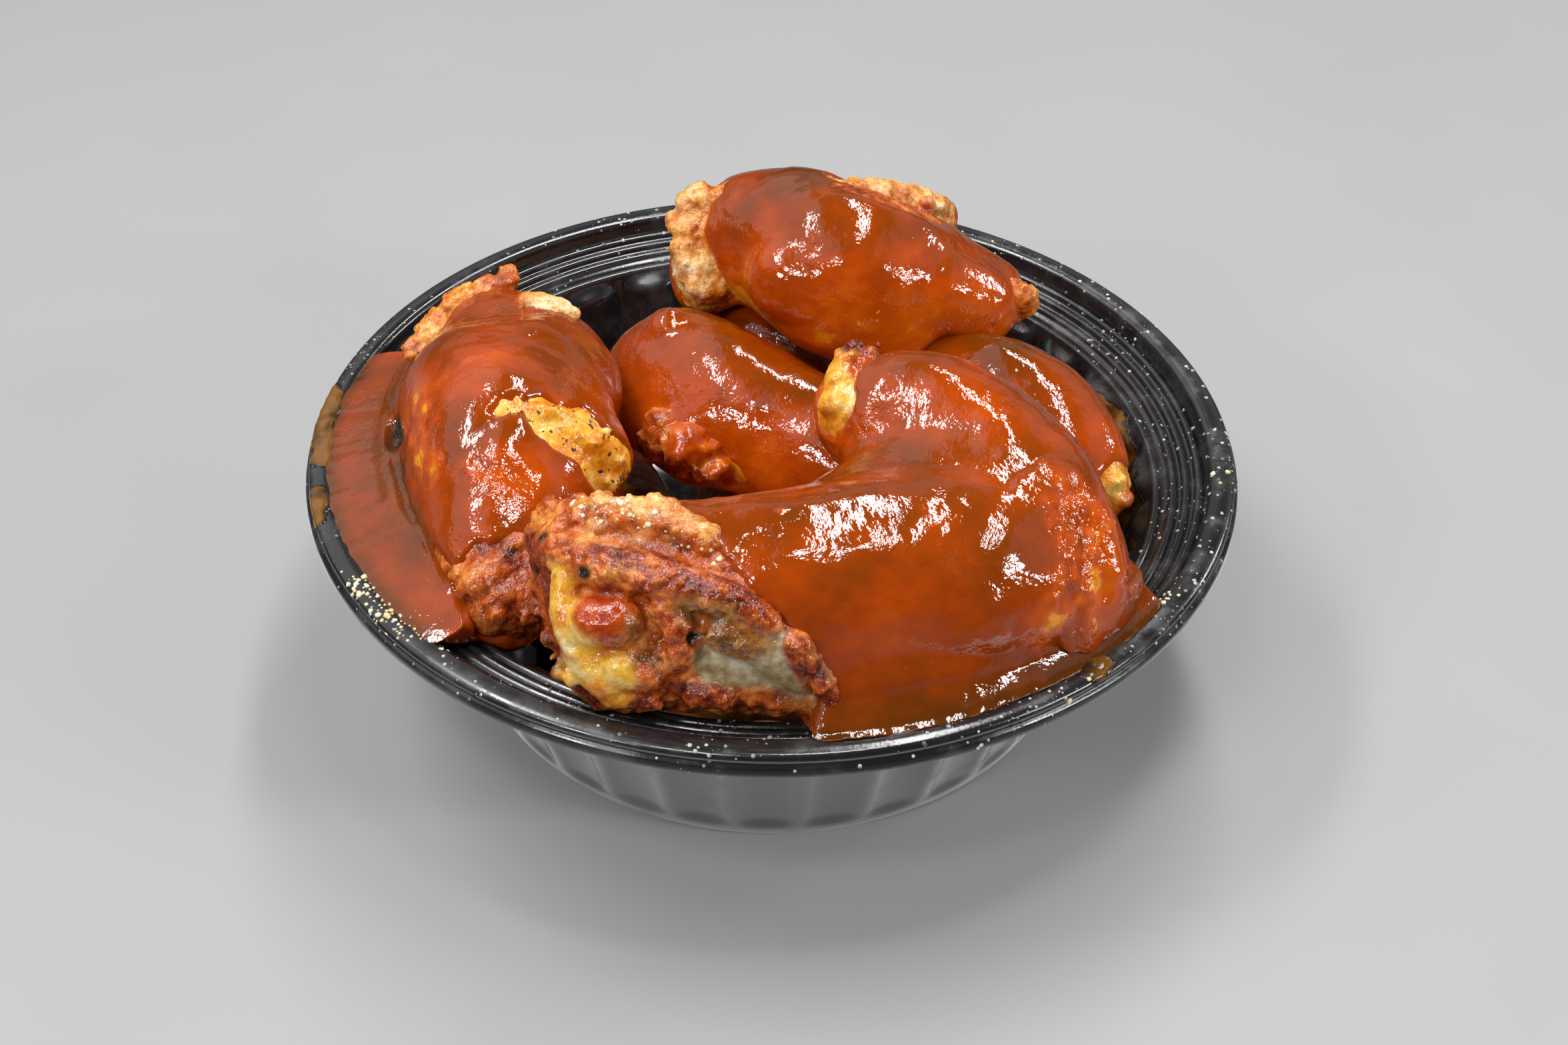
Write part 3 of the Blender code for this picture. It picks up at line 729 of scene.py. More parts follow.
            [(13, 43, 81, 2.0), (20, 46, 79, 2.4), (28, 49.5, 75.5, 2.6), (34, 52.5, 71, 2.4)],
            [(31, 46, 76, 2.2)],
            [(49, 33, 63, 3.4), (52, 33.5, 60, 2.8)],
        ],
        "crumbly": [
            ([(-16, 49, 75.5, 3.8), (-19, 45, 70, 3.6), (-17.5, 40, 64, 3.8), (-14, 37, 59, 3.6)],
             90, 1.7),
            ([(13, 43.5, 81.5, 2.2), (24, 48, 77.5, 2.6), (35, 53, 71, 2.4)], 70, 1.4),
            ([(50, 33, 63, 3.4), (52, 33.5, 60, 2.8)], 22, 1.3),
        ],
        "folds": [
            [(3, 27, 70, 9), (9, 24, 69, 8)], [(33, 29, 66, 9), (42, 31, 61, 8)],
        ],
        "dents": [([(13, 40, 88, 4), (24, 39, 84, 5), (34, 41, 79, 4)], 1.8)],
        "bare": [
            [(-16, 50, 76, 5), (-19.5, 45, 69, 6), (-15.5, 37, 60, 6)],
            [(13, 46, 84, 3.0), (24, 50, 80, 4.6), (34, 54, 73, 5.4)],
            [(53, 33, 62, 4.4)],
        ],
        # This thin sauce makes the wing's front faces lighter and more orange, where the lamps
        # leave them dim: painted light.
        "thin": [[(-2, 30, 64, 10), (18, 20, 66, 12), (38, 27, 62, 9)]],
        "thick": [[(5, 42, 86, 5)]],
        "painted": [
            ("fringe", [[(-17, 50, 76, 8), (-21, 44, 68, 9), (-15, 36, 58, 8)]], 2.0),
            ("cream", [[(-19, 46, 76, 5)], [(-17, 38, 64, 6)]], 2.0),
            ("cream", [[(12, 46, 85, 5), (24, 50, 81, 6), (35, 54, 73, 7)]], 2.0),
            ("fringe", [[(52, 34, 61, 7)]], 2.0),
        ],
    },
    "right": {
        "solids": ["wing_right"], "sauce": [], "grain": 0.7, "seed": 53,
        "lumps": [[(65, -14, 50, 3.6), (67, -12.5, 47, 3.4)], [(66, -16, 46, 2.8)]],
        "crumbly": [([(65, -15, 50, 3.6), (68, -13, 46, 3.4)], 12, 1.5)],
        "folds": [],
        "bare": [[(67, -15, 50, 4.6), (69, -12, 45, 5)]],
        "thin": [[(62, -8, 57, 6)]],
        "thick": [[(46, 14, 64, 8)]],
        "painted": [("knob", [[(66, -14, 49, 8)]], 1.5), ("film", [[(64, -17, 46, 3)]], 1.5)],
    },
    "rear_low": {
        "solids": ["wing_rear_low"], "sauce": [], "grain": 0.7, "seed": 61,
        "lumps": [], "folds": [],
        "bare": [[(-19, 49, 47, 3.5)]],
        # The thin sauce here makes a dim face lighter and more orange: painted light.
        "thin": [[(-8, 40, 52, 5)]], "thick": [[(12, 36, 50, 8)]],
        "painted": [("skin", [[(-18, 48, 46, 6)]], 2.0)],
    },
}
# Wings at the bottom, skinned in a film of sauce: (solid, seed, painted places).
# Their yellow skin is painted dim: painted shade, as lies low in the heap.
LOW_WINGS = {
    "low_left": ("wing_low_left", 71, [("yellow", [[(-30, 6, 31, 12)]], 4.0)]),
    "low_middle": ("wing_low_middle", 83, [("yellow", [[(-14, 8, 28, 9)]], 4.0),
                                           ("film", [[(-4, 6, 32, 7)]], 3.0)]),
    "low_front": ("wing_low_front", 97, [("olive", [[(-30, -66, 30, 14), (30, -60, 30, 14)]], 5.0),
                                         ("yellow", [[(-12, -30, 33, 6)]], 4.0)]),
}
LOW_GRAIN = 0.9
SKIN_SOFTENING = 5        # rounds of smoothing
COAT_SOFTENING = 40


def kind_looks(points, name, seed):
    """Colour, height, wetness and bumpiness that one kind of surface has at each point."""
    dark, middle, pale, size, bumps, wet = KINDS[name]
    broad = rough(points, size, 3, seed)
    fine = rough(points, size * 0.35, 2, seed + 50)
    patch = rough(points, size * 1.5, 3, seed + 90)
    tone = (0.46 + 0.42 * patch + 0.18 * broad + 0.28 * fine)[:, None]
    low = np.clip(tone * 2, 0, 1)
    high = np.clip(tone * 2 - 1, 0, 1)
    colour = np.array(dark) * (1 - low) + np.array(middle) * low
    colour = colour * (1 - high) + np.array(pale) * high
    same = np.ones(len(points))
    return colour, bumps * (0.6 * broad + 0.5 * fine), wet * same, bumps * same


def dress_skin(piece, painted, seed, base="crust", gaps=()):
    """Roughen a wing's skin and colour it, kind by kind."""
    points = points_of(piece.data)
    normals = normals_of(piece.data)
    colour, height, wet, bumpy = kind_looks(points, base, seed)
    for i, (kind, chains, edge) in enumerate(painted):
        share = within(points, chains, edge, ragged=edge * 0.6, grain=4.0, seed=seed + i)
        over = kind_looks(points, kind, seed + 3 * i)
        colour = colour * (1 - share[:, None]) + over[0] * share[:, None]
        height = height * (1 - share) + over[1] * share
        wet = wet * (1 - share) + over[2] * share
        bumpy = bumpy * (1 - share) + over[3] * share
    for chain, press in gaps:
        height = height - press * within(points, [chain], 1.0)
    set_points(piece.data, points + normals * height[:, None])
    put_colours(piece.data, "tint", colour)
    put_values(piece.data, "wet", wet)
    put_values(piece.data, "bumpy", bumpy)


def finish_piece(piece, material):
    """Give a piece its one material and smooth shading."""
    piece.data.materials.clear()
    piece.data.materials.append(material)
    piece.data.shade_smooth()
    return piece


def make_skin(name, about, material):
    """A wing without its sauce: the solid with its lumps and crumbly crust, coloured."""
    parts = [solid_copy(node) for node in about["solids"]]
    extra = about["lumps"] + about["folds"]
    for i, (chain, count, size) in enumerate(about.get("crumbly", ())):
        extra = extra + crumble(chain, count, size, about["seed"] + i)
    if extra:
        parts.append(add_piece("lumps", ball_mesh("lumps", extra)))
    skin = melt_together("skin_" + name, parts, about["grain"], SKIN_SOFTENING)
    dress_skin(skin, about["painted"], about["seed"], gaps=about.get("gaps", ()))
    return finish_piece(skin, material)


# ---------------------------------------------------------------- sauce
LEDGE_RADIUS = 88.0       # where the outer edge's wandering is worked out
LEDGE_Z = 50.5
SHEET_THICKNESS = 2.6
SHEET_TAPER = 11.0        # how far in from its edge the sheet is at its full thickness
SHEET_LID = (57.0, 60.0)  # between these heights the sheet gives way to the wing


def lay_flat(points, start, edge, seed):
    """Lower the sauce on the ledge to a thin sheet with a wandering outer edge."""
    radius = np.hypot(points[:, 0], points[:, 1])
    ring = points[:, :2] / radius[:, None] * LEDGE_RADIUS
    ring = np.stack([ring[:, 0], ring[:, 1], np.zeros(len(points))], 1)
    outer = edge + 1.0 * rough(ring, 13.0, 3, seed) + 0.5 * rough(ring, 4.0, 2, seed + 2)
    thick = SHEET_THICKNESS * np.clip((outer - radius) / SHEET_TAPER, 0.0, 1.0) ** 0.8
    top = LEDGE_Z + thick * (1.0 + 0.12 * swell(points, 9.0, seed + 1))
    zone = ease(radius, start, start + 4.0) * (1.0 - ease(points[:, 2], *SHEET_LID))
    points[:, 2] -= np.maximum(points[:, 2] - top, 0.0) * zone
    return 0.35 * zone * ease(radius, outer - 4.0, outer - 0.5)


COAT_THIN = 0.45          # how far thin sauce stands off the wing
COAT_DEEP = 0.8           # how much further deep sauce stands off
COAT_DIP = 1.5            # how far the coat dips into the skin at the bare places


def make_coat(name, about, material):
    """Sauce over a wing: a swollen copy that dips under the crust in the bare places."""
    seed = about["seed"]
    parts = [solid_copy(node) for node in about["solids"] + about["sauce"]]
    if about["folds"]:
        parts.append(add_piece("folds", ball_mesh("folds", about["folds"])))
    coat = melt_together("coat_" + name, parts, about["grain"], COAT_SOFTENING)
    points = points_of(coat.data)
    normals = normals_of(coat.data)
    cover = 1 - within(points, about["bare"], 1.3, ragged=1.2, grain=6.0, seed=seed)
    # Sauce is browner on faces turned up and more orange on faces turned down: partly sauce running
    # off steep faces, partly painted light on the dim lower faces and painted shade on the lit
    # tops.
    up_facing_shade = np.clip(normals[:, 2], 0, 1)
    depth = 0.5 + 0.15 * rough(points, 16.0, 4, seed + 1) + 0.24 * (up_facing_shade - 0.5)
    depth -= 0.24 * within(points, about["thin"], 6.0, ragged=2.5, grain=8.0, seed=seed + 2)
    depth += 0.25 * within(points, about["thick"], 7.0, ragged=2.5, grain=9.0, seed=seed + 3)
    edge = within(points, about["bare"], 4.5, seed=seed)
    depth = np.clip(depth - 0.12 * edge, 0.0, 1.0)
    lumpy = 0.30 * swell(points, 8.0, seed + 4) + 0.10 * swell(points, 2.6, seed + 5)
    height = cover * (COAT_THIN + COAT_DEEP * depth + lumpy) - (1 - cover) * COAT_DIP
    # A crease is also given browner sauce: sauce pooled in it, and painted shade.
    for chain, press in about.get("creases", ()):
        share = within(points, [chain], 1.6, seed=seed)
        height -= press * share
        depth += 0.25 * share
    for chain, press in about.get("dents", ()):
        height -= press * within(points, [chain], 4.0)
    gritty = within(points, about.get("gritty", ()), 2.5, ragged=2.0, grain=6.0, seed=seed)
    height += gritty * (0.30 * swell(points, 2.6, seed + 7) + 0.16 * swell(points, 1.4, seed + 8))
    depth += gritty * (0.30 * rough(points, 3.5, 2, seed + 9) - 0.10)
    spots = within(points, about.get("spots", ()), 0.7, seed=seed)
    height += 0.5 * spots
    depth = np.clip(depth - spots, 0.0, 1.0)
    points += normals * height[:, None]
    if "apron" in about:
        depth = np.clip(depth + lay_flat(points, *about["apron"], seed), 0.0, 1.0)
    set_points(coat.data, points)
    soften(coat, 2)
    put_values(coat.data, "depth", depth)
    grain = np.clip(0.35 + 0.9 * (0.5 - depth) + 0.4 * rough(points, 9.0, 2, seed + 6), 0.05, 1.0)
    put_values(coat.data, "grain", grain + 1.4 * gritty)
    return finish_piece(coat, material)


# ---------------------------------------------------------------- finishes
def new_material(name):
    """A material with its node tree, its shader and the place on the piece."""
    material = bpy.data.materials.new(name)
    material.use_nodes = True
    tree = Tree(material.node_tree)
    shader = material.node_tree.nodes["Principled BSDF"]
    shader.location = (1400, 0)
    place = tree.node("ShaderNodeTexCoord").outputs["Object"]
    return material, tree, shader, place


def grain_group():
    """Fine uneven surface in two sizes, as a height, with dark specks and a cloudy mask."""
    group, t, size = new_tree("fine_grain", "ShaderNodeTree", (
        ("Place", "Vector", None), ("Coarse", "Float", 700.0), ("Fine", "Float", 2200.0),
        ("Fine Share", "Float", 0.35), ("Speck Size", "Float", 0.2)),
        [("Height", "Float"), ("Specks", "Float"), ("Cloud", "Float")])
    coarse = t.noise(size["Place"], size["Coarse"], 3.0)
    fine = t.noise(size["Place"], size["Fine"], 1.0)
    share = size["Fine Share"]
    height = t.math("ADD", t.math("MULTIPLY", coarse, t.math("SUBTRACT", 1.0, share)),
                    t.math("MULTIPLY", fine, share))
    cells = t.node("ShaderNodeTexVoronoi", {"Vector": size["Place"],
                                            "Scale": size["Coarse"]}).outputs
    dots = t.math("LESS_THAN", cells["Distance"], size["Speck Size"])
    chosen = t.node("ShaderNodeSeparateColor", {0: cells["Color"]}).outputs[0]
    specks = t.math("MULTIPLY", dots, t.math("GREATER_THAN", chosen, 0.86))
    cloud = t.noise(size["Place"], 130.0, 4.0, 0.6)
    t.node("NodeGroupOutput", {"Height": height, "Specks": specks, "Cloud": cloud})
    return group


def use_grain(t, group, place, **values):
    made = t.node("ShaderNodeGroup", node_tree=group)
    t.fill(made, Place=place, **values)
    return made.outputs


def colour_steps(t, value, steps):
    """A colour that changes with a value, through steps of (value, colour)."""
    made = t.node("ShaderNodeValToRGB", {0: value})
    ramp = made.color_ramp
    while len(ramp.elements) < len(steps):
        ramp.elements.new(1.0)
    for element, (place, colour) in zip(ramp.elements, steps):
        element.position = place
        element.color = (*colour, 1.0)
    return made.outputs[0]


SAUCE_COLOURS = [            # from thin sauce to deep
    (0.0, (0.84, 0.30, 0.008)), (0.06, (0.68, 0.125, 0.004)), (0.18, (0.57, 0.086, 0.002)),
    (0.38, (0.42, 0.053, 0.001)), (0.60, (0.26, 0.039, 0.001)), (0.82, (0.16, 0.032, 0.001)),
    (1.0, (0.10, 0.025, 0.001)),
]


def make_sauce(grain):
    """Thick glossy sauce: orange where thin, brown where pooled, and painted light and shade in its
    depth.
    """
    material, t, shader, place = new_material("glossy_sauce")
    coarse = t.attribute("grain")
    fine = use_grain(t, grain, place, Coarse=450.0, Fine=1500.0, Fine_Share=0.25,
                     Speck_Size=0.09)
    broad = use_grain(t, grain, place, Coarse=190.0, Fine=480.0, Fine_Share=0.2)
    clouds = t.math("MULTIPLY", t.math("SUBTRACT", fine["Cloud"], 0.5), 0.55)
    colour = colour_steps(t, t.math("ADD", t.attribute("depth"), clouds), SAUCE_COLOURS)
    speck = t.math("MULTIPLY", fine["Specks"], 0.45)
    height = t.math("MULTIPLY", fine["Height"], t.math("ADD", 0.45, coarse))
    height = t.math("ADD", height, t.math("MULTIPLY", broad["Height"], 0.9))
    t.fill(shader, Base_Color=t.blend(speck, colour, (0.10, 0.02, 0.004)),
           Roughness=t.spread(fine["Cloud"], 0.03, 0.09), Normal=t.bump(height, 0.00024),
           Subsurface_Weight=0.04, Subsurface_Radius=(0.003, 0.0008, 0.0002),
           Specular_IOR_Level=0.62)
    return material


def make_skin_finish(grain):
    """Fried skin, crust, gristle and meat, coloured by the tint kept on each wing."""
    material, t, shader, place = new_material("fried_wing")
    bumpy = t.attribute("bumpy")
    fine = use_grain(t, grain, place, Coarse=900.0, Fine=2400.0, Fine_Share=0.4)
    mottle_and_shade = t.math("ADD", 0.12, t.math("MULTIPLY", bumpy, 0.7))
    # The colour is darkened in the hollows of the fine bumps, as painted shade, and paled on their
    # crests.
    dark = t.math("MULTIPLY", t.ramp(fine["Height"], 0.54, 0.38), mottle_and_shade)
    pale = t.math("MULTIPLY", t.ramp(fine["Height"], 0.55, 0.68), t.math("MULTIPLY", mottle_and_shade, 0.35))
    colour = t.blend(dark, t.attribute("tint", "Color"), (0.45, 0.16, 0.06), "MULTIPLY")
    dryness = t.math("SUBTRACT", 1.0, t.attribute("wet"))
    rough_part = t.math("MULTIPLY", fine["Cloud"], t.math("ADD", 0.14, dryness))
    height = t.math("MULTIPLY", fine["Height"], t.math("ADD", 0.10, t.math("MULTIPLY", bumpy, 0.5)))
    t.fill(shader, Base_Color=t.blend(pale, colour, (0.95, 0.58, 0.20)),
           Roughness=t.math("ADD", 0.03, rough_part), Normal=t.bump(height, 0.0010),
           Subsurface_Weight=0.1, Subsurface_Radius=(0.002, 0.0008, 0.0003),
           Specular_IOR_Level=0.62)
    return material


def make_oily_sauce():
    """Brown oily film that fades into the black plastic at its edge."""
    material, t, shader, place = new_material("thin_oily_sauce")
    cloud = t.noise(place, 150.0, 3.0)
    colour = t.blend(t.ramp(cloud, 0.36, 0.66), (0.030, 0.016, 0.004), (0.21, 0.085, 0.010))
    cover = t.math("ADD", t.attribute("cover"), t.math("MULTIPLY", cloud, 0.4))
    t.fill(shader, Base_Color=t.blend(t.ramp(cover, 0.30, 0.85), (0.013, 0.013, 0.013), colour),
           Normal=t.bump(cloud, 0.0003), Roughness=0.15)
    return material


def make_plastic(grain):
    """Black moulded plastic with faint scuffs and a greasy haze."""
    material, t, shader, place = new_material("black_plastic")
    fine = use_grain(t, grain, place, Coarse=420.0, Fine=1500.0, Fine_Share=0.5)
    haze = t.ramp(fine["Cloud"], 0.45, 0.75)
    t.fill(shader, Base_Color=t.blend(haze, (0.011, 0.011, 0.012), (0.034, 0.034, 0.035)),
           Roughness=t.spread(haze, 0.17, 0.38), Normal=t.bump(fine["Height"], 0.00003),
           Specular_IOR_Level=0.9)
    return material


def simple_finish(name, low, high, roughness):
    """A plain finish whose colour changes from place to place."""
    material, t, shader, place = new_material(name)
    share = t.ramp(t.noise(place, 420.0), 0.35, 0.65)
    t.fill(shader, Base_Color=t.blend(share, low, high), Roughness=roughness)
    return material


# ---------------------------------------------------------------- drops, crumbs and pepper
def scatter_tree():
    """Small shapes strewn over a surface where an attribute of it says so."""
    tree, t, given = new_tree("strewn_bits", "GeometryNodeTree", (
        ("Surface", "Geometry", None), ("Where", "String", "drops"),
        ("Per Square Metre", "Float", 1e4), ("Smallest", "Float", 0.2 * MM),
        ("Largest", "Float", 0.8 * MM), ("Flatness", "Float", 0.5), ("Lumpiness", "Float", 0.0),
        ("Length", "Float", 1.0), ("Seed", "Int", 1), ("Finish", "Material", None)),
        [("Bits", "Geometry")])
    where = t.node("GeometryNodeInputNamedAttribute", {"Name": given["Where"]}, data_type="FLOAT")
    density = t.math("MULTIPLY", where.outputs["Attribute"], given["Per Square Metre"])
    spots = t.node("GeometryNodeDistributePointsOnFaces",
                   {"Mesh": given["Surface"], "Density": density, "Seed": given["Seed"]})
    bit = t.node("GeometryNodeMeshIcoSphere", {"Radius": 1.0, "Subdivisions": 2}).outputs[0]
    place = t.node("GeometryNodeInputPosition").outputs[0]
    wobble = t.noise(place, 1.3)
    normal = t.node("GeometryNodeInputNormal").outputs[0]
    push = t.math("MULTIPLY", t.math("SUBTRACT", wobble, 0.5), given["Lumpiness"])
    shove = t.node("ShaderNodeVectorMath", {0: normal, "Scale": push}, operation="SCALE").outputs[0]
    lumpy = t.node("GeometryNodeSetPosition", {"Geometry": bit, "Offset": shove}).outputs[0]
    shrink = t.node("ShaderNodeCombineXYZ", {0: given["Length"], 1: 1.0, 2: given["Flatness"]})
    bit = t.node("GeometryNodeTransform", {"Geometry": lumpy, "Scale": shrink.outputs[0]})
    spin = t.node("FunctionNodeRandomValue", {"Max": 2 * math.pi, "Seed": 5}, data_type="FLOAT")
    turned = t.node("FunctionNodeRotateRotation", {
        "Rotation": spots.outputs["Rotation"],
        "Rotate By": t.node("ShaderNodeCombineXYZ", {2: spin.outputs[1]}).outputs[0]},
        rotation_space="LOCAL").outputs[0]
    chance = t.node("FunctionNodeRandomValue", {"Seed": 9}, data_type="FLOAT").outputs[1]
    size = t.spread(t.math("POWER", chance, 2.2), given["Smallest"], given["Largest"])
    strewn = t.node("GeometryNodeInstanceOnPoints", {
        "Points": spots.outputs["Points"], "Instance": bit.outputs[0], "Rotation": turned,
        "Scale": size})
    real = t.node("GeometryNodeRealizeInstances", {"Geometry": strewn.outputs[0]})
    smooth = t.node("GeometryNodeSetShadeSmooth", {"Geometry": real.outputs[0]})
    dressed = t.node("GeometryNodeSetMaterial", {"Geometry": smooth.outputs[0],
                                                 "Material": given["Finish"]})
    t.node("NodeGroupOutput", {"Bits": dressed.outputs[0]})
    return tree


def strew(name, host, tree, material, slot, **values):
    """A new piece made of bits strewn over a host piece."""
    bits = add_piece(name, host.data.copy())
    sizes = {key.replace("_", " "): value for key, value in values.items()}
    run_tree(bits, tree, {"Finish": material, **sizes})
    drop_layers(bits.data, ("drops", "crumbs", "tint", "wet", "bumpy", "pepper"))
    bits.data.materials.clear()
    bits.data.materials.append(material)
    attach(bits, "root")
    return bits


# Dry bits on a wing: how many to the square metre, the largest in millimetres, and how long.
DRY_BITS = {"crumbs": (5.0e5, 0.5, 1.2), "pepper": (1.3e5, 0.36, 1.6)}


def strew_on_wing(skin, name, about, tree, finishes):
    """Crumbs and pepper where the wing has them and is bare of sauce."""
    for mark, finish in finishes.items():
        if mark in about:
            amount, largest, length = DRY_BITS[mark]
            points = points_of(skin.data)
            bare = within(points, about["bare"], 1.0) * within(points, about[mark], 2.0)
            put_values(skin.data, mark, bare)
            strew(mark + "_on_" + name, skin, tree, finish, "wing_skin", Where=mark,
                  Seed=about["seed"], Per_Square_Metre=amount, Smallest=0.14 * MM,
                  Largest=largest * MM, Flatness=0.6, Lumpiness=1.0, Length=length)


# Drops and crumbs lie on the bowl's rim and steps, outside and above these (start, all).
SPLASHED_RADIUS = (75, 77)
SPLASHED_HEIGHT = (42, 43)
BOWL_CRUMBS = [[(-73, -49, 50, 2.6), (-65, -58, 50, 3.2), (-58, -63, 50, 1.6)],
               [(72.5, -47, 50, 2.0)]]


def mark_bowl(bowl):
    """Where drops and crumbs lie on the bowl."""
    points = points_of(bowl.data)
    normals = normals_of(bowl.data)
    radius = np.hypot(points[:, 0], points[:, 1])
    upward = ease(normals[:, 2], 0.1, 0.5)
    rim = ease(radius, *SPLASHED_RADIUS) * upward * ease(points[:, 2], *SPLASHED_HEIGHT)
    patchy = ease(rough(points, 16.0, 3, 5), -0.25, 0.5)
    put_values(bowl.data, "drops", rim * (0.15 + 0.85 * patchy))
    crumbs = within(points, BOWL_CRUMBS, 1.0, ragged=1.5)
    crumbs += 0.05 * rim * ease(rough(points, 11.0, 2, 8), 0.2, 0.6)
    put_values(bowl.data, "crumbs", crumbs * upward)


# Thin greasy sauce on the bowl: the film at the left of its rim, a patch further forward, the
# smear beside the right wing, a small one on the flutes and a patch at the front right.
SMEARS = [
    [(-90.5, 13, 50, 1.6), (-90, 6, 50.7, 3.4), (-89, -3, 50.7, 3.6), (-87, -10, 50.7, 3.0)],
    [(-87, -22, 50.7, 1.4), (-86.5, -29, 50.7, 2.2)],
    [(62, 30, 40, 4), (70, 17, 38, 5), (73, 6, 37, 5), (72.5, -6, 36, 4)],
    [(73, -20, 38, 2.6), (71, -26, 34, 2.6)],
    [(59, -66.5, 50.7, 1.5), (56, -69.5, 50.7, 1.1)],
]
SMEAR_FOOT_Z = 8.0        # no smear lies lower than this
OUTER_LIP_Z = 48.5        # nor on an outward face below this
RIM_Z = 46.0              # a smear is thinner below this
SMEAR_THICKNESS = 0.5


def smear_share(mesh):
    """1 in a smear and 0 outside it, with a ragged edge."""
    return within(points_of(mesh), SMEARS, 0.8, ragged=1.2, grain=5.0, seed=19)


def make_smears(bowl, material):
    """A thin film copied from the face of the bowl where the smears lie."""
    points = points_of(bowl.data)
    close = within(points, SMEARS, 2.0) * (points[:, 2] > SMEAR_FOOT_Z) > 0
    shape = bmesh.new()
    shape.from_mesh(bowl.data)
    gone = []
    for face in shape.faces:
        middle = face.calc_center_median()
        outwards = face.normal.x * middle.x + face.normal.y * middle.y > 0.2 * middle.xy.length
        if (not all(close[v.index] for v in face.verts) or face.normal.z < -0.3
                or outwards and middle.z < OUTER_LIP_Z * MM):
            gone.append(face)
    bmesh.ops.delete(shape, geom=gone, context="FACES")
    bmesh.ops.subdivide_edges(shape, edges=shape.edges, cuts=2, use_grid_fill=True)
    mesh = mesh_from(shape, "smears_on_bowl")
    drop_layers(mesh, ("drops", "crumbs"))
    share = smear_share(mesh)
    shape = bmesh.new()
    shape.from_mesh(mesh)
    gone = [face for face in shape.faces if max(share[v.index] for v in face.verts) < 0.02]
    bmesh.ops.delete(shape, geom=gone, context="FACES")
    loose = [vert for vert in shape.verts if not vert.link_faces]
    bmesh.ops.delete(shape, geom=loose, context="VERTS")
    shape.to_mesh(mesh)
    shape.free()
    share = smear_share(mesh)
    points = points_of(mesh)
    thinner = np.where(points[:, 2] < RIM_Z, 0.35, 1.0)
    lift = 0.04 + share * (0.22 + 0.16 * rough(points, 3.0, 2, 4)) * thinner
    set_points(mesh, points + normals_of(mesh) * lift[:, None])
    put_values(mesh, "cover", share)
    film = add_piece("smears_on_bowl", mesh)
    body = film.modifiers.new("Body", "SOLIDIFY")
    body.thickness = SMEAR_THICKNESS * MM
    body.offset = -1.0
    make_real(film)
    return finish_piece(film, material)


# ---------------------------------------------------------------- stage
def make_floor():
    """A pale floor that mirror rays see bright near the bowl and dark further away."""
    shape = bmesh.new()
    bmesh.ops.create_grid(shape, x_segments=1, y_segments=1, size=3.0)
    floor = add_piece("floor", mesh_from(shape, "floor"))
    floor.data.transform(Matrix.Translation((0, 0, FLOOR_Z)))
    material, t, shader, place = new_material("pale_floor")
    colour = t.blend(t.noise(place, 14.0), (0.33, 0.33, 0.33), (0.36, 0.36, 0.36))
    away = t.node("ShaderNodeVectorMath", {0: place}, operation="LENGTH").outputs["Value"]
    near = t.ramp(away, FLOOR_DARK_REACH, FLOOR_BRIGHT_REACH)
    mirrored = t.blend(near, (0.14, 0.14, 0.14), (0.80, 0.80, 0.80))
    seen = t.node("ShaderNodeLightPath").outputs
    in_mirror = t.math("MULTIPLY", seen["Is Glossy Ray"], t.math("MULTIPLY", near, 0.45))
    glow = t.math("ADD", in_mirror, t.math("MULTIPLY", seen["Is Camera Ray"], 0.06))
    t.fill(shader, Base_Color=t.blend(seen["Is Glossy Ray"], colour, mirrored), Roughness=0.5,
           Emission_Color=(1, 1, 1, 1), Emission_Strength=glow)
    floor.data.materials.append(material)


def add_lamp(name, place, along, size, power):
    """A flat lamp aimed at the food, with its long side running along a direction."""
    data = bpy.data.lights.new(name, "AREA")
    data.shape = "RECTANGLE"
    data.size, data.size_y = size
    data.energy = power
    lamp = bpy.data.objects.new(name, data)
    bpy.context.scene.collection.objects.link(lamp)
    back = (Vector(place) - Vector(LAMP_TARGET)).normalized()
    side = Vector(along) - back * Vector(along).dot(back)
    side.normalize()
    turned = Matrix((side, back.cross(side), back)).transposed()
    lamp.matrix_world = Matrix.Translation(place) @ turned.to_4x4()


def make_sky():
    world = bpy.data.worlds.new("studio")
    bpy.context.scene.world = world
    world.use_nodes = True
    t = Tree(world.node_tree)
    aim = t.node("ShaderNodeTexCoord").outputs["Generated"]
    apart = t.node("ShaderNodeSeparateXYZ", {0: aim}).outputs
    high = t.math("MAXIMUM", apart[2], 0.02)
    across = t.math("DIVIDE", apart[0], high)
    behind = t.math("DIVIDE", apart[1], high)

    def inside(value, start, end):
        return t.math("MULTIPLY", t.ramp(value, start - SKY_EDGE, start + SKY_EDGE),
                      t.ramp(value, end + SKY_EDGE, end - SKY_EDGE))

    brightest = 0.0
    for x_range, y_range, bright in SKY_PANELS:
        panel = t.math("MULTIPLY", inside(across, *x_range), bright)
        panel = t.math("MULTIPLY", panel, inside(behind, *y_range))
        brightest = t.math("MAXIMUM", brightest, panel)
    glow = t.math("ADD", SKY_GLOW, brightest)
    colour = t.node("ShaderNodeCombineColor", {0: glow, 1: glow, 2: glow}).outputs[0]
    t.fill(world.node_tree.nodes["Background"], Color=colour, Strength=1.0)


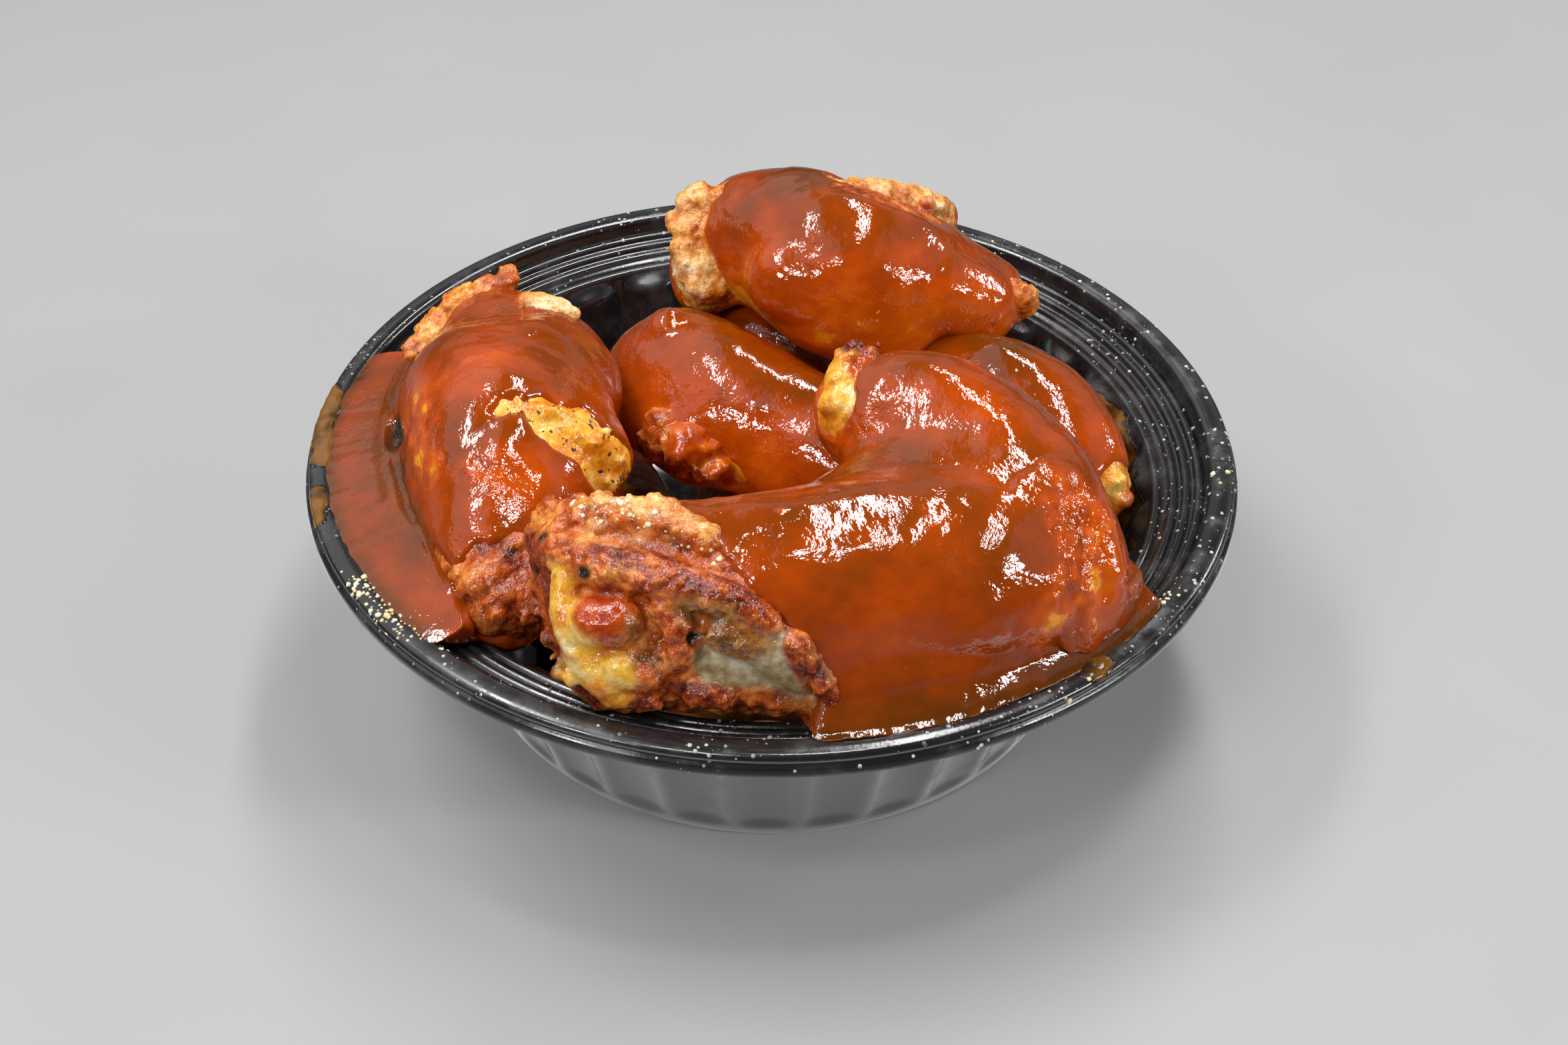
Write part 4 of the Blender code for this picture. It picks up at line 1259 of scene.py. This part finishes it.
def make_camera():
    data = bpy.data.cameras.new("camera")
    data.lens = LENS
    data.sensor_width = 36.0
    camera = bpy.data.objects.new("camera", data)
    bpy.context.scene.collection.objects.link(camera)
    lean = math.radians(VIEW_HEIGHT)
    roll = math.radians(VIEW_ROLL)
    back = Vector((0.0, -math.cos(lean), math.sin(lean)))
    side = Vector((0, 0, 1)).cross(back).normalized()
    up = back.cross(side)
    right = side * math.cos(roll) + up * math.sin(roll)
    top = up * math.cos(roll) - side * math.sin(roll)
    turn = Matrix((right, top, back)).transposed()
    place = Vector(VIEW_TARGET) + back * VIEW_DISTANCE
    camera.matrix_world = Matrix.Translation(place) @ turn.to_4x4()
    bpy.context.scene.camera = camera


def main():
    scene = bpy.context.scene
    scene.view_settings.view_transform = "Standard"
    grain = grain_group()
    plastic = make_plastic(grain)
    sauce = make_sauce(grain)
    wing = make_skin_finish(grain)
    bits = scatter_tree()
    drop = simple_finish("greasy_drop", (0.12, 0.12, 0.12), (0.62, 0.62, 0.60), 0.06)
    grease = make_oily_sauce()
    crumb = simple_finish("cheese_crumb", (0.80, 0.62, 0.26), (0.90, 0.84, 0.62), 0.45)
    flake = simple_finish("pepper_flake", (0.02, 0.012, 0.006), (0.10, 0.05, 0.02), 0.5)
    bowl = make_bowl(plastic)
    mark_bowl(bowl)
    strew("drops_on_bowl", bowl, bits, drop, "bowl_plastic", Where="drops", Seed=3,
          Per_Square_Metre=3.6e5, Smallest=0.08 * MM, Largest=0.46 * MM, Flatness=0.45,
          Lumpiness=0.2)
    strew("crumbs_on_bowl", bowl, bits, crumb, "wing_skin", Where="crumbs", Seed=8,
          Per_Square_Metre=0.9e6, Smallest=0.18 * MM, Largest=0.66 * MM, Flatness=0.8,
          Lumpiness=1.2)
    smears = make_smears(bowl, grease)
    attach(smears, "root")
    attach(bowl, "root")
    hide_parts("bowl")
    for name, about in WINGS.items():
        skin = make_skin(name, about, wing)
        coat = make_coat(name, about, sauce)
        strew_on_wing(skin, name, about, bits, {"crumbs": crumb, "pepper": flake})
        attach(skin, "root")
        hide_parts(*about["solids"])
        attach(coat, "root")
        if about["sauce"]:
            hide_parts(*about["sauce"])
    for name, (node, seed, painted) in LOW_WINGS.items():
        skin = melt_together("skin_" + name, [solid_copy(node)], LOW_GRAIN, SKIN_SOFTENING)
        dress_skin(skin, painted, seed, base="film")
        finish_piece(skin, wing)
        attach(skin, "root")
        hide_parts(node)
    make_floor()
    make_sky()
    for name, (place, along, size, power) in LAMPS.items():
        add_lamp(name, place, along, size, power)
    make_camera()


main()
